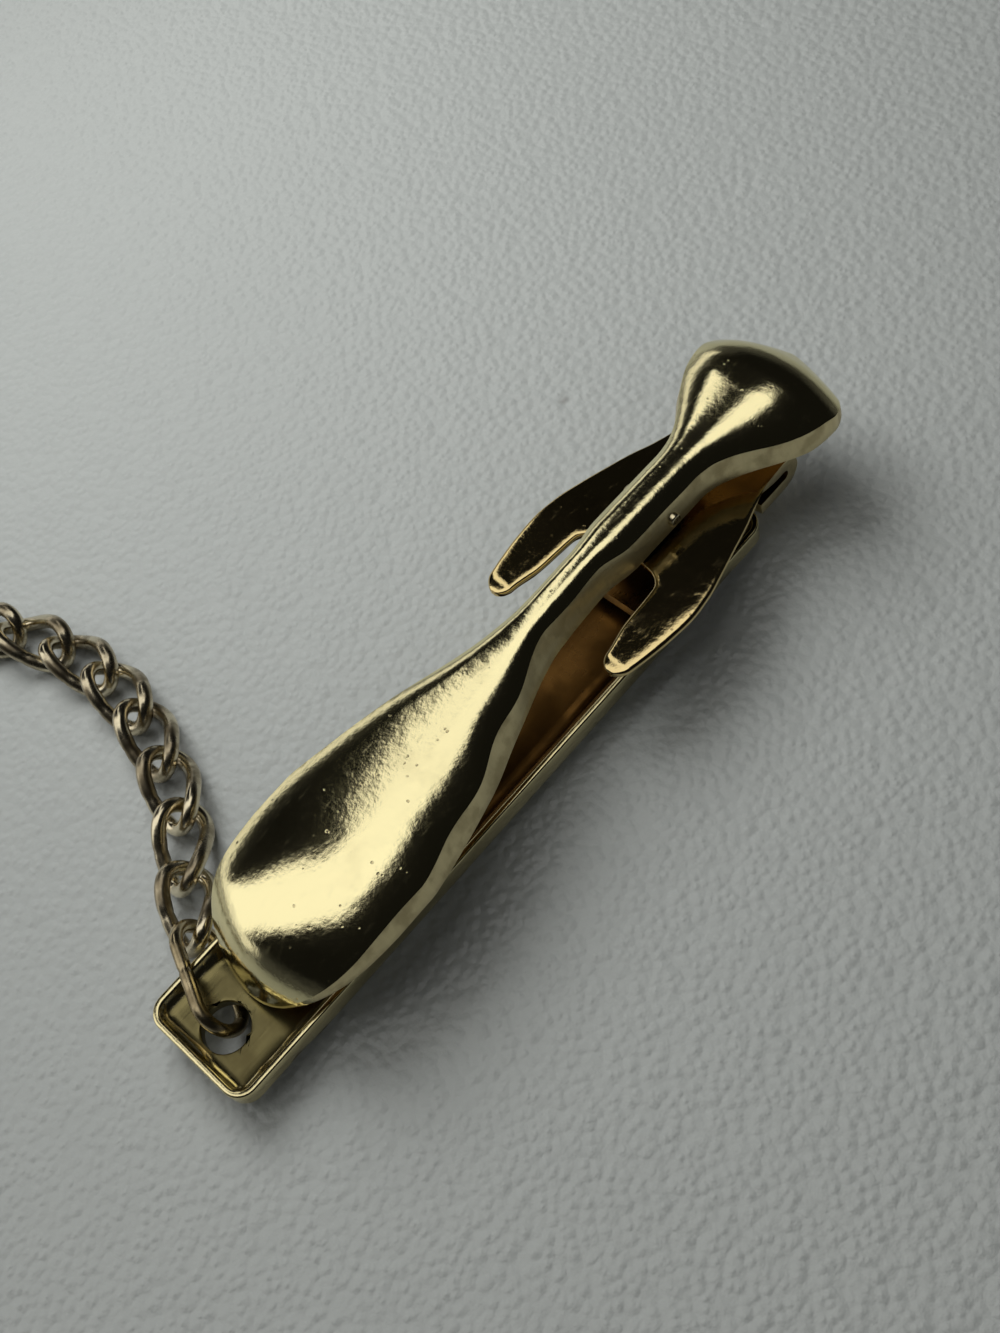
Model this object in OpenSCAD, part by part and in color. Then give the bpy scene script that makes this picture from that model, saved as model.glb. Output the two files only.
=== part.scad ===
// Tie clip with a safety chain. All lengths are in millimetres.
// The origin is the centre of the front face, which lies on the table.
// X runs along the bar to the lever's head, Y to the chain's side, Z up from the front face.

/* [Front bar] */
// Length over the rim
bar_length = 38.1; // [36:0.1:44]
// Width over the rim
bar_width = 6.4; // [6:0.1:8]
// Height from the front face to the rim
bar_height = 2.2; // [2:0.05:2.8]
// Thickness of the pressed sheet
bar_sheet = 0.6; // [0.5:0.05:0.8]
// Width of the raised rim
rim_width = 0.45; // [0.3:0.05:0.6]
// How far the outer wall swells past the rim
wall_swell = 0.28; // [0.1:0.02:0.4]
// Height of the underside at both ends, where the ring passes under
end_lift = 1.1; // [1:0.05:1.3]
// Length of each end that is lifted level
end_level = 3.2; // [3:0.1:4]
// Length over which the underside comes down to the front face
end_ramp = 4; // [3:0.1:6]
// How far the underside turns in along the sides
side_turn = 1.35; // [0.8:0.05:1.6]
// Corner radius in plan
bar_corner = 0.8; // [0.4:0.05:1.2]
// Diameter of the ring's hole
hole_diameter = 2.5; // [2.2:0.05:2.8]
// Distance from the rim's end to the middle of the hole
hole_inset = 1.85; // [1.8:0.05:2.2]

/* [Spring bracket] */
// Thickness of the bent strip
strip_sheet = 0.8; // [0.7:0.05:0.9]
// Outer radius of the turned end
turn_radius = 1.1; // [1.05:0.05:1.3]
// How far the turned end stands past the bar
turn_overhang = 3.6; // [3.2:0.1:4.2]
// Width of the turned end
turn_width = 6.2; // [5.6:0.1:6.6]
// Width of the strip that lies in the bar
foot_width = 5; // [4:0.1:5.2]
// Length of the strip that lies in the bar
foot_length = 8; // [5:0.1:12]
// Height of the fork's top
fork_height = 5; // [4.9:0.05:5.1]
// Length of the fork from its tips to the middle of the turn
fork_length = 14.65; // [14:0.1:15.5]
// Width over the widest place of the fork
fork_width = 10.4; // [9.6:0.1:11]
// Width of the slot between the prongs
slot_width = 5; // [4.6:0.1:5.2]
// Width of the opening at the prong tips
mouth_width = 6.8; // [6:0.1:7]
// Radius at the prong tips
tip_radius = 0.8; // [0.5:0.05:1]

/* [Lever] */
// Place of the pivot along the lever, as a share of its length from the nose
pivot_share = 0.728; // [0.72:0.002:0.736]
// Thickness of the pressed sheet
lever_sheet = 0.5; // [0.45:0.05:0.55]
// Distance from the bar's end to the nose
nose_inset = 3.7; // [3.6:0.1:4.5]
// Width of the spoon
spoon_width = 9.7; // [8.6:0.1:10.4]
// Width of the neck
neck_width = 2.4; // [2.2:0.1:2.8]
// Width of the head
head_width = 8.6; // [7.6:0.1:9.6]
// How far the spoon's edge lies under the pivot at the nose
nose_drop = 3.9; // [3.65:0.05:3.95]
// How far the spoon's edge lies under the pivot
spoon_drop = 1.2; // [0.95:0.05:1.45]
// How far the neck's edge lies under the pivot
neck_drop = 0.55; // [0.35:0.05:0.6]
// How far the head's edge lies under the pivot
head_drop = 0.9; // [0.65:0.05:1]
// How far the spoon's crown stands over the pivot
spoon_rise = 0.95; // [0.65:0.05:1.25]
// How far the neck's crown stands over the pivot
neck_rise = 1.55; // [1.45:0.05:1.75]
// How far the head's crown stands over the pivot
head_rise = 0.85; // [0.65:0.05:1.05]
// How far the head's crown lies under the pivot at its end
tail_drop = 0.2; // [0:0.05:0.25]

/* [Pivot and spring] */
// Distance from the middle of the turn back to the pivot
pivot_back = 6.6; // [6.3:0.1:6.9]
// Height of the pivot
pivot_height = 5.95; // [5.9:0.05:6]
// Pin diameter
pin_diameter = 0.7; // [0.6:0.05:0.75]
// How far the pin's ends stand past the lever
pin_stand = 0.12; // [0.05:0.01:0.2]
// Thickness of the ears
ear_sheet = 0.3; // [0.25:0.05:0.35]
// Length of the ears at the strip
ear_length = 4.4; // [3.6:0.1:5]
// Radius of the ears at the pin
ear_radius = 0.62; // [0.58:0.01:0.66]
// Spring wire diameter
coil_wire = 0.2; // [0.15:0.01:0.22]
// Radius of the spring's turns to the middle of its wire
coil_radius = 0.54; // [0.52:0.01:0.56]
// Distance between the turns
coil_pitch = 0.25; // [0.23:0.01:0.27]

/* [Ring and chain] */
// Wire diameter of the ring in the bar
ring_wire = 0.7; // [0.6:0.05:0.75]
// Height of the ring over its wire
ring_height = 3.5; // [3.4:0.05:3.7]
// Direction of the ring from the hole
ring_heading = 66; // [62:1:70]
// Lean of the ring and the last ring in degrees
ring_lean = 28; // [22:1:32]
// Wire diameter of the links
link_wire = 0.8; // [0.75:0.05:0.85]
// Length of a link over its wire
link_length = 5.4; // [5.3:0.05:5.6]
// Width of a link over its wire
link_width = 3.2; // [3.1:0.05:3.4]
// How far each link is twisted out of flat
link_twist = 0.68; // [0.66:0.01:0.72]
// Free length between two links that are pulled tight
link_play = 0.35; // [0.3:0.05:0.4]
// Wire diameter of the last ring
last_wire = 0.7; // [0.6:0.05:0.75]
// Outer diameter of the last ring
last_diameter = 4; // [3.9:0.1:4.2]
// Length of the toggle bar
toggle_length = 14; // [10:0.5:18]
// Diameter of the toggle bar
toggle_diameter = 1.7; // [1.5:0.1:2]
// Wire diameter of the toggle's eye
eye_wire = 0.7; // [0.6:0.05:0.75]
// Inner diameter of the toggle's eye
eye_bore = 1.5; // [1.4:0.1:1.6]

/* [Hidden] */

// Clearances and the overrun of every cut
cut_over = 1;
slide_clear = 0.05;
side_clear = 0.1;
seat_clear = 0.05;
ring_clear = 0.3;
ring_play = 0.4;
floor_clear = 0.02;
$fn = 48;
fine_steps = 16;

// Direction of each link from the ring on, in degrees
link_headings = [60, 50, 66, 72, 84, 97, 109, 121, 132, 143,
  154, 165, 176, 186, 195, 203, 210, 216, 221, 225];

// Sizes worked out from the bar
half_bar = bar_length / 2;
bar_out = bar_width / 2 + wall_swell;
level_floor = end_lift + bar_sheet;
hole_x = hole_inset - half_bar;
turn_x = half_bar + turn_overhang - turn_radius;
foot_z = level_floor + seat_clear;
turn_z = foot_z + turn_radius;

// Places along the lever, each a share of its length from the nose
nose_x = nose_inset - half_bar;
pivot_x = turn_x - pivot_back;
lever_length = (pivot_x - nose_x) / pivot_share;
station_shares = [0, 0.005, 0.014, 0.023, 0.034, 0.048, 0.064, 0.082, 0.103, 0.127, 0.152, 0.178,
  0.205, 0.232, 0.26, 0.29, 0.32, 0.35, 0.38, 0.41, 0.44, 0.465, 0.49, 0.52, 0.56, 0.61, 0.66,
  0.7, 0.74, 0.775, 0.8, 0.824, 0.848, 0.87, 0.89, 0.91, 0.93, 0.948, 0.964, 0.978, 0.988,
  0.995, 1];
spoon_shares = [[0, 0.19], [0.005, 0.29], [0.014, 0.43], [0.023, 0.54], [0.034, 0.65],
  [0.048, 0.75], [0.064, 0.84], [0.082, 0.91], [0.103, 0.955], [0.127, 0.98], [0.152, 0.995],
  [0.205, 1]];
waist_shares = [[0.205, 0], [0.232, 0.045], [0.26, 0.11], [0.29, 0.18], [0.32, 0.265],
  [0.35, 0.36], [0.38, 0.475], [0.41, 0.6], [0.44, 0.726], [0.465, 0.82], [0.49, 0.895],
  [0.52, 0.97], [0.56, 1]];
flare_shares = [[0.61, 0], [0.66, 0.095], [0.775, 0.1], [0.8, 0.15], [0.824, 0.285],
  [0.848, 0.484], [0.87, 0.69], [0.89, 0.84], [0.91, 0.94], [0.93, 0.99], [0.948, 1],
  [0.964, 0.95], [0.978, 0.84], [0.988, 0.68], [0.995, 0.48], [1, 0.24]];
nose_rise_shares = [[0, 0], [0.014, 0.26], [0.034, 0.58], [0.064, 0.84], [0.103, 0.93],
  [0.205, 1]];
neck_rise_shares = [[0.29, 0], [0.49, 0.6], [0.61, 1]];
head_fall_shares = [[0.775, 0], [0.848, 0.6], [0.91, 1]];
crown_rise_shares = [[0, 0.08], [0.005, 0.16], [0.014, 0.3], [0.023, 0.42], [0.034, 0.54],
  [0.048, 0.66], [0.064, 0.76], [0.082, 0.84], [0.103, 0.9], [0.127, 0.945], [0.152, 0.975],
  [0.205, 1]];
crown_neck_shares = [[0.29, 0], [0.49, 0.65], [0.58, 1]];
crown_head_shares = [[0.76, 0], [0.824, 0.35], [0.89, 1]];
crown_tail_shares = [[0.89, 0], [0.93, 0.18], [0.964, 0.45], [0.988, 0.78], [1, 1]];
// Squareness of the lever's section and the steps round it
section_power = 3.2;
section_steps = 14;

function mix(a, b, t) = a + (b - a) * t;
function lever_half(u) =
  u < 0.205 ? spoon_width / 2 * lookup(u, spoon_shares)
  : u < 0.6 ? mix(spoon_width, neck_width, lookup(u, waist_shares)) / 2
  : u < 0.93 ? mix(neck_width, head_width, lookup(u, flare_shares)) / 2
  : head_width / 2 * lookup(u, flare_shares);
function lever_edge(u) =
  pivot_height - (u < 0.205 ? mix(nose_drop, spoon_drop, lookup(u, nose_rise_shares))
  : u < 0.7 ? mix(spoon_drop, neck_drop, lookup(u, neck_rise_shares))
  : mix(neck_drop, head_drop, lookup(u, head_fall_shares)));
function lever_crown(u) =
  pivot_height + (u < 0.205 ? mix(-nose_drop, spoon_rise, lookup(u, crown_rise_shares))
  : u < 0.7 ? mix(spoon_rise, neck_rise, lookup(u, crown_neck_shares))
  : u < 0.89 ? mix(neck_rise, head_rise, lookup(u, crown_head_shares))
  : mix(head_rise, -tail_drop, lookup(u, crown_tail_shares)));

// The lever's half width where the ears stand inside it, and the ears' outer faces
pivot_half = lever_half(pivot_share);
pivot_edge = lever_edge(pivot_share);
ear_rise_share = (pivot_height + ear_radius - pivot_edge)
  / (lever_crown(pivot_share) - lever_sheet - pivot_edge);
ear_out = (pivot_half - lever_sheet) * pow(1 - pow(ear_rise_share, section_power), 1 / section_power)
  - side_clear;
ear_in = ear_out - ear_sheet;

// Sizes of the ring and the chain
ring_round = (ring_height - ring_wire) / 2;
ring_z = floor_clear + ring_wire / 2 + ring_round * cos(ring_lean);
ring_start = -ring_wire / 4;
bar_reach = bar_out / sin(ring_heading);
link_end_at = bar_reach + ring_clear + link_wire / 2;
ring_end = link_end_at + link_wire / 2 + ring_play + ring_wire / 2;
link_a = (link_length - link_wire) / 2;
link_b = (link_width - link_wire) / 2;
link_pitch = 2 * link_a - link_wire - link_play;
link_z = link_twist + link_wire / 2 + floor_clear;
chain_start_at = link_end_at + link_a - link_pitch / 2;
chain_start = [hole_x + chain_start_at * cos(ring_heading), chain_start_at * sin(ring_heading)];
chain_count = len(link_headings);
first_tilt = asin((ring_z - link_z) / (link_a + link_pitch / 2));
last_heading = link_headings[chain_count - 1];
last_round = (last_diameter - last_wire) / 2;
last_z = floor_clear + last_wire / 2 + last_round * cos(ring_lean);
last_tilt = asin((last_z - link_z) / (link_a + link_pitch / 2));

function chain_joint(k) = k == 0 ? chain_start
  : chain_joint(k - 1) + link_pitch * [cos(link_headings[k - 1]), sin(link_headings[k - 1])];

// A tube through points whose section stands square to the path
function unit(v) = v / norm(v);
function path_way(pts, i, closed) = let(n = len(pts))
  closed ? unit(pts[(i + 1) % n] - pts[(i + n - 1) % n])
  : i == 0 ? unit(pts[1] - pts[0])
  : i == n - 1 ? unit(pts[n - 1] - pts[n - 2])
  : unit(pts[i + 1] - pts[i - 1]);

module tube(pts, radius, sides, closed, lean) {
  n = len(pts);
  rings = [for (i = [0 : n - 1])
    let(way = path_way(pts, i, closed), side = unit(cross(way, lean)), up = cross(side, way))
    for (j = [0 : sides - 1])
      pts[i] + radius * (cos(360 * j / sides) * side + sin(360 * j / sides) * up)];
  last = closed ? n - 1 : n - 2;
  walls = [for (i = [0 : last]) for (j = [0 : sides - 1])
    let(a = i * sides + j, b = i * sides + (j + 1) % sides,
      c = ((i + 1) % n) * sides + (j + 1) % sides, d = ((i + 1) % n) * sides + j)
    for (face = [[a, b, c], [a, c, d]]) face];
  ends = closed ? [] : [for (j = [1 : sides - 2])
    for (face = [[0, j + 1, j], [(n - 1) * sides, (n - 1) * sides + j, (n - 1) * sides + j + 1]])
      face];
  polyhedron(points = rings, faces = concat(walls, ends));
}

// Front bar: a pressed dish whose ends are lifted
function drop_curve(reach, turn, low, high) = [for (i = [0 : fine_steps])
  [reach - turn * (1 - cos(90 * i / fine_steps)), mix(high, low, sin(90 * i / fine_steps))]];
function ramp_curve(reach, low, high) = [for (i = [0 : fine_steps])
  [reach - end_level - end_ramp * i / fine_steps,
    mix(low, high, (1 + cos(180 * i / fine_steps)) / 2)]];
function flip(pts) = [for (i = [len(pts) - 1 : -1 : 0]) [-pts[i][0], pts[i][1]]];

module cross_profile(inset, low) {
  top = bar_height + (inset > 0 ? cut_over : 0);
  reach = bar_width / 2 + (inset > 0 ? -inset : wall_swell);
  turn = side_turn - (inset > 0 ? bar_sheet / 2 : 0);
  lift = end_lift + low;
  rim = inset > 0 ? [[reach, top]]
    : [[bar_width / 2, top], [bar_width / 2 + wall_swell * 2 / 3, bar_height - wall_swell / 2]];
  right = concat(rim, drop_curve(reach, turn, low, lift));
  polygon(concat(right, flip(right)));
}

module long_profile(inset, low) {
  top = bar_height + (inset > 0 ? cut_over : 0);
  reach = half_bar + (inset > 0 ? -inset : wall_swell);
  rim = inset > 0 ? [[reach, top]]
    : [[half_bar, top], [half_bar + wall_swell * 2 / 3, bar_height - wall_swell / 2]];
  right = concat(rim, [[reach, end_lift + low + (inset > 0 ? 0 : wall_swell / 2)],
    [reach - wall_swell / 2, end_lift + low]], ramp_curve(half_bar, low, end_lift + low));
  polygon(concat(right, flip(right)));
}

module plan_profile(inset) {
  corner = bar_corner + wall_swell - (inset > 0 ? rim_width : 0);
  reach_x = half_bar + (inset > 0 ? -inset : wall_swell);
  reach_y = bar_width / 2 + (inset > 0 ? -inset : wall_swell);
  for (sx = [-1, 1]) for (sy = [-1, 1])
    translate([sx * (reach_x - corner), sy * (reach_y - corner)]) circle(corner);
  square([2 * (reach_x - corner), 2 * reach_y], center = true);
  square([2 * reach_x, 2 * (reach_y - corner)], center = true);
}

module dish(inset, low) {
  long = bar_length + 2 * cut_over;
  wide = bar_width + 2 * cut_over;
  intersection() {
    translate([-long / 2, 0, 0]) rotate([90, 0, 90]) linear_extrude(long) cross_profile(inset, low);
    translate([0, wide / 2, 0]) rotate([90, 0, 0]) linear_extrude(wide) long_profile(inset, low);
    translate([0, 0, -cut_over]) linear_extrude(bar_height + 3 * cut_over) plan_profile(inset);
  }
}

module front_bar() {
  color("Gold") difference() {
    dish(0, 0);
    dish(rim_width, bar_sheet);
    translate([hole_x, 0, 0]) cylinder(h = bar_height + cut_over, d = hole_diameter);
    translate([half_bar - rim_width - cut_over, -foot_width / 2 - side_clear, level_floor])
      cube([rim_width + wall_swell + 2 * cut_over, foot_width + 2 * side_clear, bar_height]);
  }
}

// Spring bracket: a strip folded over the far end, with a fork and two ears
fork_front = turn_x - fork_length;
fork_low = fork_height - strip_sheet;
leaf_shares = [[0.34, 0], [0.46, 0.1], [0.58, 0.3], [0.7, 0.55], [0.82, 0.8], [0.92, 0.94], [1, 1]];
outline_shares = [[0, 0.8], [0.05, 0.87], [0.12, 0.93], [0.22, 0.98], [0.32, 1], [0.42, 0.97],
  [0.52, 0.9], [0.62, 0.82], [0.72, 0.74], [0.82, 0.67], [0.9, 0.62]];
tip_curl_shares = [[0.02, 0.3], [0.05, 0.08], [0.09, 0]];

module leaf_side() {
  fall = fork_height - turn_z - turn_radius;
  upper = [for (s = leaf_shares) [fork_front + fork_length * s[0], fork_height - fall * s[1]]];
  curl = [for (s = tip_curl_shares) [fork_front + fork_length * s[0],
    fork_height - strip_sheet * s[1]]];
  lower = [for (i = [len(leaf_shares) - 1 : -1 : 0]) [fork_front + fork_length * leaf_shares[i][0],
    fork_low - fall * leaf_shares[i][1]]];
  polygon(concat([[fork_front, fork_low - strip_sheet / 8],
    [fork_front, fork_height - strip_sheet * 2 / 3]], curl, upper, lower,
    [[fork_front + tip_radius, fork_low]]));
}

module fork_plan() {
  side = [for (s = outline_shares) [fork_front + fork_length * s[0], fork_width / 2 * s[1]]];
  right = concat(side, [[turn_x, turn_width / 2]]);
  difference() {
    polygon(concat(right, [for (i = [len(right) - 1 : -1 : 0]) [right[i][0], -right[i][1]]]));
    slot_outline();
    for (s = [-1, 1]) scale([1, s]) tip_corners();
  }
}

// The slot widens to the mouth and narrows to the gap between the ears
slot_step_x = pivot_x - ear_length / 2 - side_clear;
slot_end_x = pivot_x + ear_length / 2 + side_clear;
module slot_outline() {
  mouth = mouth_width / 2;
  wide = slot_width / 2;
  bend = fork_front + fork_length / 6;
  half = [[fork_front - cut_over, mouth], [fork_front + tip_radius, mouth], [bend, mix(wide, mouth, 1 / 4)],
    [slot_step_x - tip_radius, wide], [slot_step_x - tip_radius / 3, mix(wide, ear_out, 1 / 3)],
    [slot_step_x, mix(wide, ear_out, 2 / 3)], [slot_step_x, ear_out], [slot_end_x, ear_out]];
  polygon(concat(half, [for (i = [len(half) - 1 : -1 : 0]) [half[i][0], -half[i][1]]]));
}

module tip_corners() {
  tip_half = fork_width / 2 * outline_shares[0][1];
  for (edge = [[tip_half, -1], [mouth_width / 2, 1]]) {
    spare = (tip_half - mouth_width / 2) / 2;
    translate([fork_front, edge[0] + edge[1] * spare]) difference() {
      translate([-cut_over, edge[1] > 0 ? -spare - cut_over : 0])
        square([cut_over + spare, spare + cut_over]);
      translate([spare, 0]) circle(spare);
    }
  }
}

module ear(side) {
  rise = pivot_height - fork_low;
  face = side > 0 ? ear_in : -ear_out;
  translate([pivot_x, face + ear_sheet, 0]) rotate([90, 0, 0]) linear_extrude(ear_sheet)
    difference() {
      union() {
        translate([0, pivot_height]) circle(ear_radius);
        polygon([[-ear_length / 2, fork_low], [ear_length / 2, fork_low],
          [ear_length / 2, fork_low + rise / 5], [ear_radius, pivot_height],
          [-ear_radius, pivot_height], [-ear_length / 2, fork_low + rise / 5]]);
      }
      translate([0, pivot_height]) circle(d = pin_diameter + 2 * slide_clear);
    }
  translate([pivot_x - ear_length / 2, side > 0 ? ear_in : -ear_out - side_clear, fork_low])
    cube([ear_length, ear_sheet + side_clear, ear_sheet]);
}

module fork_bracket() {
  color("DarkGoldenrod") {
    intersection() {
      translate([0, fork_width, 0]) rotate([90, 0, 0]) linear_extrude(2 * fork_width) leaf_side();
      linear_extrude(fork_height + cut_over) fork_plan();
    }
    translate([turn_x, turn_width / 2, turn_z]) rotate([90, 0, 0]) difference() {
      cylinder(h = turn_width, r = turn_radius);
      translate([0, 0, -cut_over]) {
        cylinder(h = turn_width + 2 * cut_over, r = turn_radius - strip_sheet);
        translate([-turn_radius - cut_over, -turn_radius - cut_over, 0])
          cube([turn_radius + cut_over, 2 * (turn_radius + cut_over), turn_width + 2 * cut_over]);
      }
    }
    past_bar = half_bar + wall_swell + ring_clear;
    translate([past_bar, -turn_width / 2, foot_z]) cube([turn_x - past_bar, turn_width, strip_sheet]);
    translate([half_bar - foot_length, -foot_width / 2, foot_z])
      cube([past_bar - half_bar + foot_length, foot_width, strip_sheet]);
    for (side = [-1, 1]) ear(side);
  }
}

module pivot_pin() {
  reach = pivot_half + pin_stand;
  color("Silver") translate([pivot_x, reach, pivot_height]) rotate([90, 0, 0])
    cylinder(h = 2 * reach, d = pin_diameter);
}

// Lever: a pressed channel with a spoon, a neck and a head
function section_y(half, j) = let(t = 180 * j / section_steps)
  half * sign(cos(t)) * pow(abs(cos(t)), 2 / section_power);
function section_z(low, high, j) = let(t = 180 * j / section_steps)
  low + (high - low) * pow(sin(t), 2 / section_power);
function widening(u) = (lever_half(min(u + 0.004, 1)) - lever_half(max(u - 0.004, 0)))
  / (lever_length * (min(u + 0.004, 1) - max(u - 0.004, 0)));
function climbing(u) = (lever_crown(min(u + 0.004, 1)) - lever_crown(max(u - 0.004, 0)))
  / (lever_length * (min(u + 0.004, 1) - max(u - 0.004, 0)));
thin_share = 0.1;

module lever_shell() {
  count = len(station_shares);
  m = section_steps + 1;
  outer = [for (u = station_shares) for (j = [0 : m - 1])
    [nose_x + lever_length * u, section_y(lever_half(u), j),
      section_z(lever_edge(u), lever_crown(u), j)]];
  inner = [for (i = [0 : count - 1])
    let(u = station_shares[i], slope = widening(u), lean = sqrt(1 + slope * slope),
      shift = i == 0 ? lever_sheet : i == count - 1 ? -lever_sheet : lever_sheet * slope / lean,
      half = max(lever_half(u) - lever_sheet / lean, lever_half(u) * thin_share),
      sheet_up = lever_sheet * sqrt(1 + pow(climbing(u), 2)),
      tall = lever_crown(u) - lever_edge(u))
    for (j = [0 : m - 1])
      [nose_x + lever_length * u + shift, section_y(half, j),
        section_z(lever_edge(u), lever_edge(u) + max(tall - sheet_up, tall * thin_share), j)]];
  in = count * m;
  skin = [for (i = [0 : count - 2]) for (j = [0 : m - 2])
    let(a = i * m + j, b = a + 1, c = a + m + 1, d = a + m)
    for (face = [[a, b, c], [a, c, d], [in + a, in + c, in + b], [in + a, in + d, in + c]]) face];
  edges = [for (i = [0 : count - 2])
    let(a = i * m, d = a + m, b = a + m - 1, c = d + m - 1)
    for (face = [[a, d, in + d], [a, in + d, in + a], [b, in + b, in + c], [b, in + c, c]]) face];
  top = (count - 1) * m;
  caps = [for (j = [1 : m - 2]) for (face = [[0, j + 1, j], [in, in + j, in + j + 1],
    [top, top + j, top + j + 1], [in + top, in + top + j + 1, in + top + j]]) face];
  feet = [[0, in, in + m - 1], [0, in + m - 1, m - 1],
    [top, in + top + m - 1, in + top], [top, top + m - 1, in + top + m - 1]];
  polyhedron(points = concat(outer, inner), faces = concat(skin, edges, caps, feet));
}

module lever() {
  wide = pivot_half + cut_over;
  color("Khaki") difference() {
    lever_shell();
    translate([pivot_x, wide, pivot_height]) rotate([90, 0, 0])
      cylinder(h = 2 * wide, d = pin_diameter + 2 * slide_clear);
  }
}

// Lever spring: one wire, its legs on the strip and under the lever's head
coil_steps = 12;
coil_turns = 2;
module lever_spring() {
  turns = coil_turns + 1 / 4;
  across = coil_pitch * turns;
  upper_from = ear_length * 2 / 3;
  upper_leg = [pivot_x + upper_from,
    lever_crown(pivot_share + upper_from / lever_length) - lever_sheet - coil_wire / 2 - side_clear];
  lower_leg = [pivot_x + ear_length * 3 / 4, fork_height - side_clear];
  coil = [for (i = [0 : coil_steps * turns]) let(t = 90 - 360 * i / coil_steps)
    [pivot_x + coil_radius * cos(t), across / 2 - coil_pitch * i / coil_steps,
      pivot_height + coil_radius * sin(t)]];
  path = concat([[upper_leg[0], across / 2, upper_leg[1]]], coil,
    [[lower_leg[0], -across / 2, lower_leg[1]]]);
  color("Silver") tube(path, coil_wire / 2, 6, false, [0, 1, 0]);
}

// Ring through the bar's hole, and the links
arc_steps = 8;
module connector_ring() {
  right = [for (i = [0 : arc_steps]) let(t = -90 + 180 * i / arc_steps)
    [ring_end - ring_round + ring_round * cos(t), 0, ring_round * sin(t)]];
  left = [for (i = [0 : arc_steps]) let(t = 90 + 180 * i / arc_steps)
    [ring_start + ring_round + ring_round * cos(t), 0, ring_round * sin(t)]];
  color("Peru") translate([hole_x, 0, ring_z]) rotate([-ring_lean, 0, ring_heading])
    tube(concat(right, left), ring_wire / 2, 10, true, [0, 1, 0]);
}

link_steps = 20;
link_path = [for (i = [0 : link_steps - 1]) let(t = 360 * i / link_steps)
  [link_a * cos(t), link_b * sin(t), link_twist * sin(2 * t)]];

module chain_link(k) {
  heading = link_headings[k - 1];
  last = k == chain_count;
  at = chain_joint(last ? k - 1 : k);
  tilt = k == 1 ? first_tilt : last ? -last_tilt : 0;
  translate([at[0], at[1], link_z])
    rotate([0, 0, heading]) rotate([0, tilt, 0])
    translate([(last ? 1 : -1) * link_pitch / 2, 0, 0])
    tube(link_path, link_wire / 2, 6, true, [0, 0, 1]);
}

module link_01() { color("Peru") chain_link(1); }
module link_02() { color("Sienna") chain_link(2); }
module link_03() { color("Peru") chain_link(3); }
module link_04() { color("Sienna") chain_link(4); }
module link_05() { color("Peru") chain_link(5); }
module link_06() { color("Sienna") chain_link(6); }
module link_07() { color("Peru") chain_link(7); }
module link_08() { color("Sienna") chain_link(8); }
module link_09() { color("Peru") chain_link(9); }
module link_10() { color("Sienna") chain_link(10); }
module link_11() { color("Peru") chain_link(11); }
module link_12() { color("Sienna") chain_link(12); }
module link_13() { color("Peru") chain_link(13); }
module link_14() { color("Sienna") chain_link(14); }
module link_15() { color("Peru") chain_link(15); }
module link_16() { color("Sienna") chain_link(16); }
module link_17() { color("Peru") chain_link(17); }
module link_18() { color("Sienna") chain_link(18); }
module link_19() { color("Peru") chain_link(19); }
module link_20() { color("Sienna") chain_link(20); }

// Last ring and the toggle bar at the chain's free end
last_from = link_a - link_pitch / 2 - link_wire / 2 - ring_play - last_wire / 2;
eye_out = eye_bore / 2 + eye_wire / 2;
eye_middle = last_from + 2 * last_round;
bar_z = toggle_diameter / 2 + floor_clear;

module at_chain_end(forward, height) {
  at = chain_joint(chain_count);
  translate([at[0], at[1], 0]) rotate([0, 0, last_heading]) translate([forward, 0, height])
    children();
}

module end_ring() {
  color("Peru") at_chain_end(last_from + last_round, last_z) rotate([90 + ring_lean, 0, 0])
    rotate_extrude() translate([last_round, 0]) circle(d = last_wire);
}

module toggle_bar() {
  middle = eye_middle + eye_out + eye_wire / 3;
  half = toggle_length / 2 - toggle_diameter / 2;
  color("Sienna") {
    at_chain_end(eye_middle, last_z) rotate([ring_lean, 0, 0])
      rotate_extrude() translate([eye_out, 0]) circle(d = eye_wire);
    at_chain_end(middle, bar_z) {
      rotate([90, 0, 0]) cylinder(h = 2 * half, d = toggle_diameter, center = true);
      for (side = [-1, 1]) translate([0, side * half, 0]) sphere(d = toggle_diameter);
    }
  }
}

front_bar();
fork_bracket();
pivot_pin();
lever();
lever_spring();
connector_ring();
link_01();
link_02();
link_03();
link_04();
link_05();
link_06();
link_07();
link_08();
link_09();
link_10();
link_11();
link_12();
link_13();
link_14();
link_15();
link_16();
link_17();
link_18();
link_19();
link_20();
end_ring();
toggle_bar();
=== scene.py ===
"""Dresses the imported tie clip: pressed forms, worn gold finishes, table, light and camera."""

import logging
import math
from dataclasses import dataclass
from enum import Enum, IntEnum
from typing import Callable, Optional, Sequence, Union

import bmesh
import bpy
import numpy as np
from mathutils import Matrix, Vector

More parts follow.
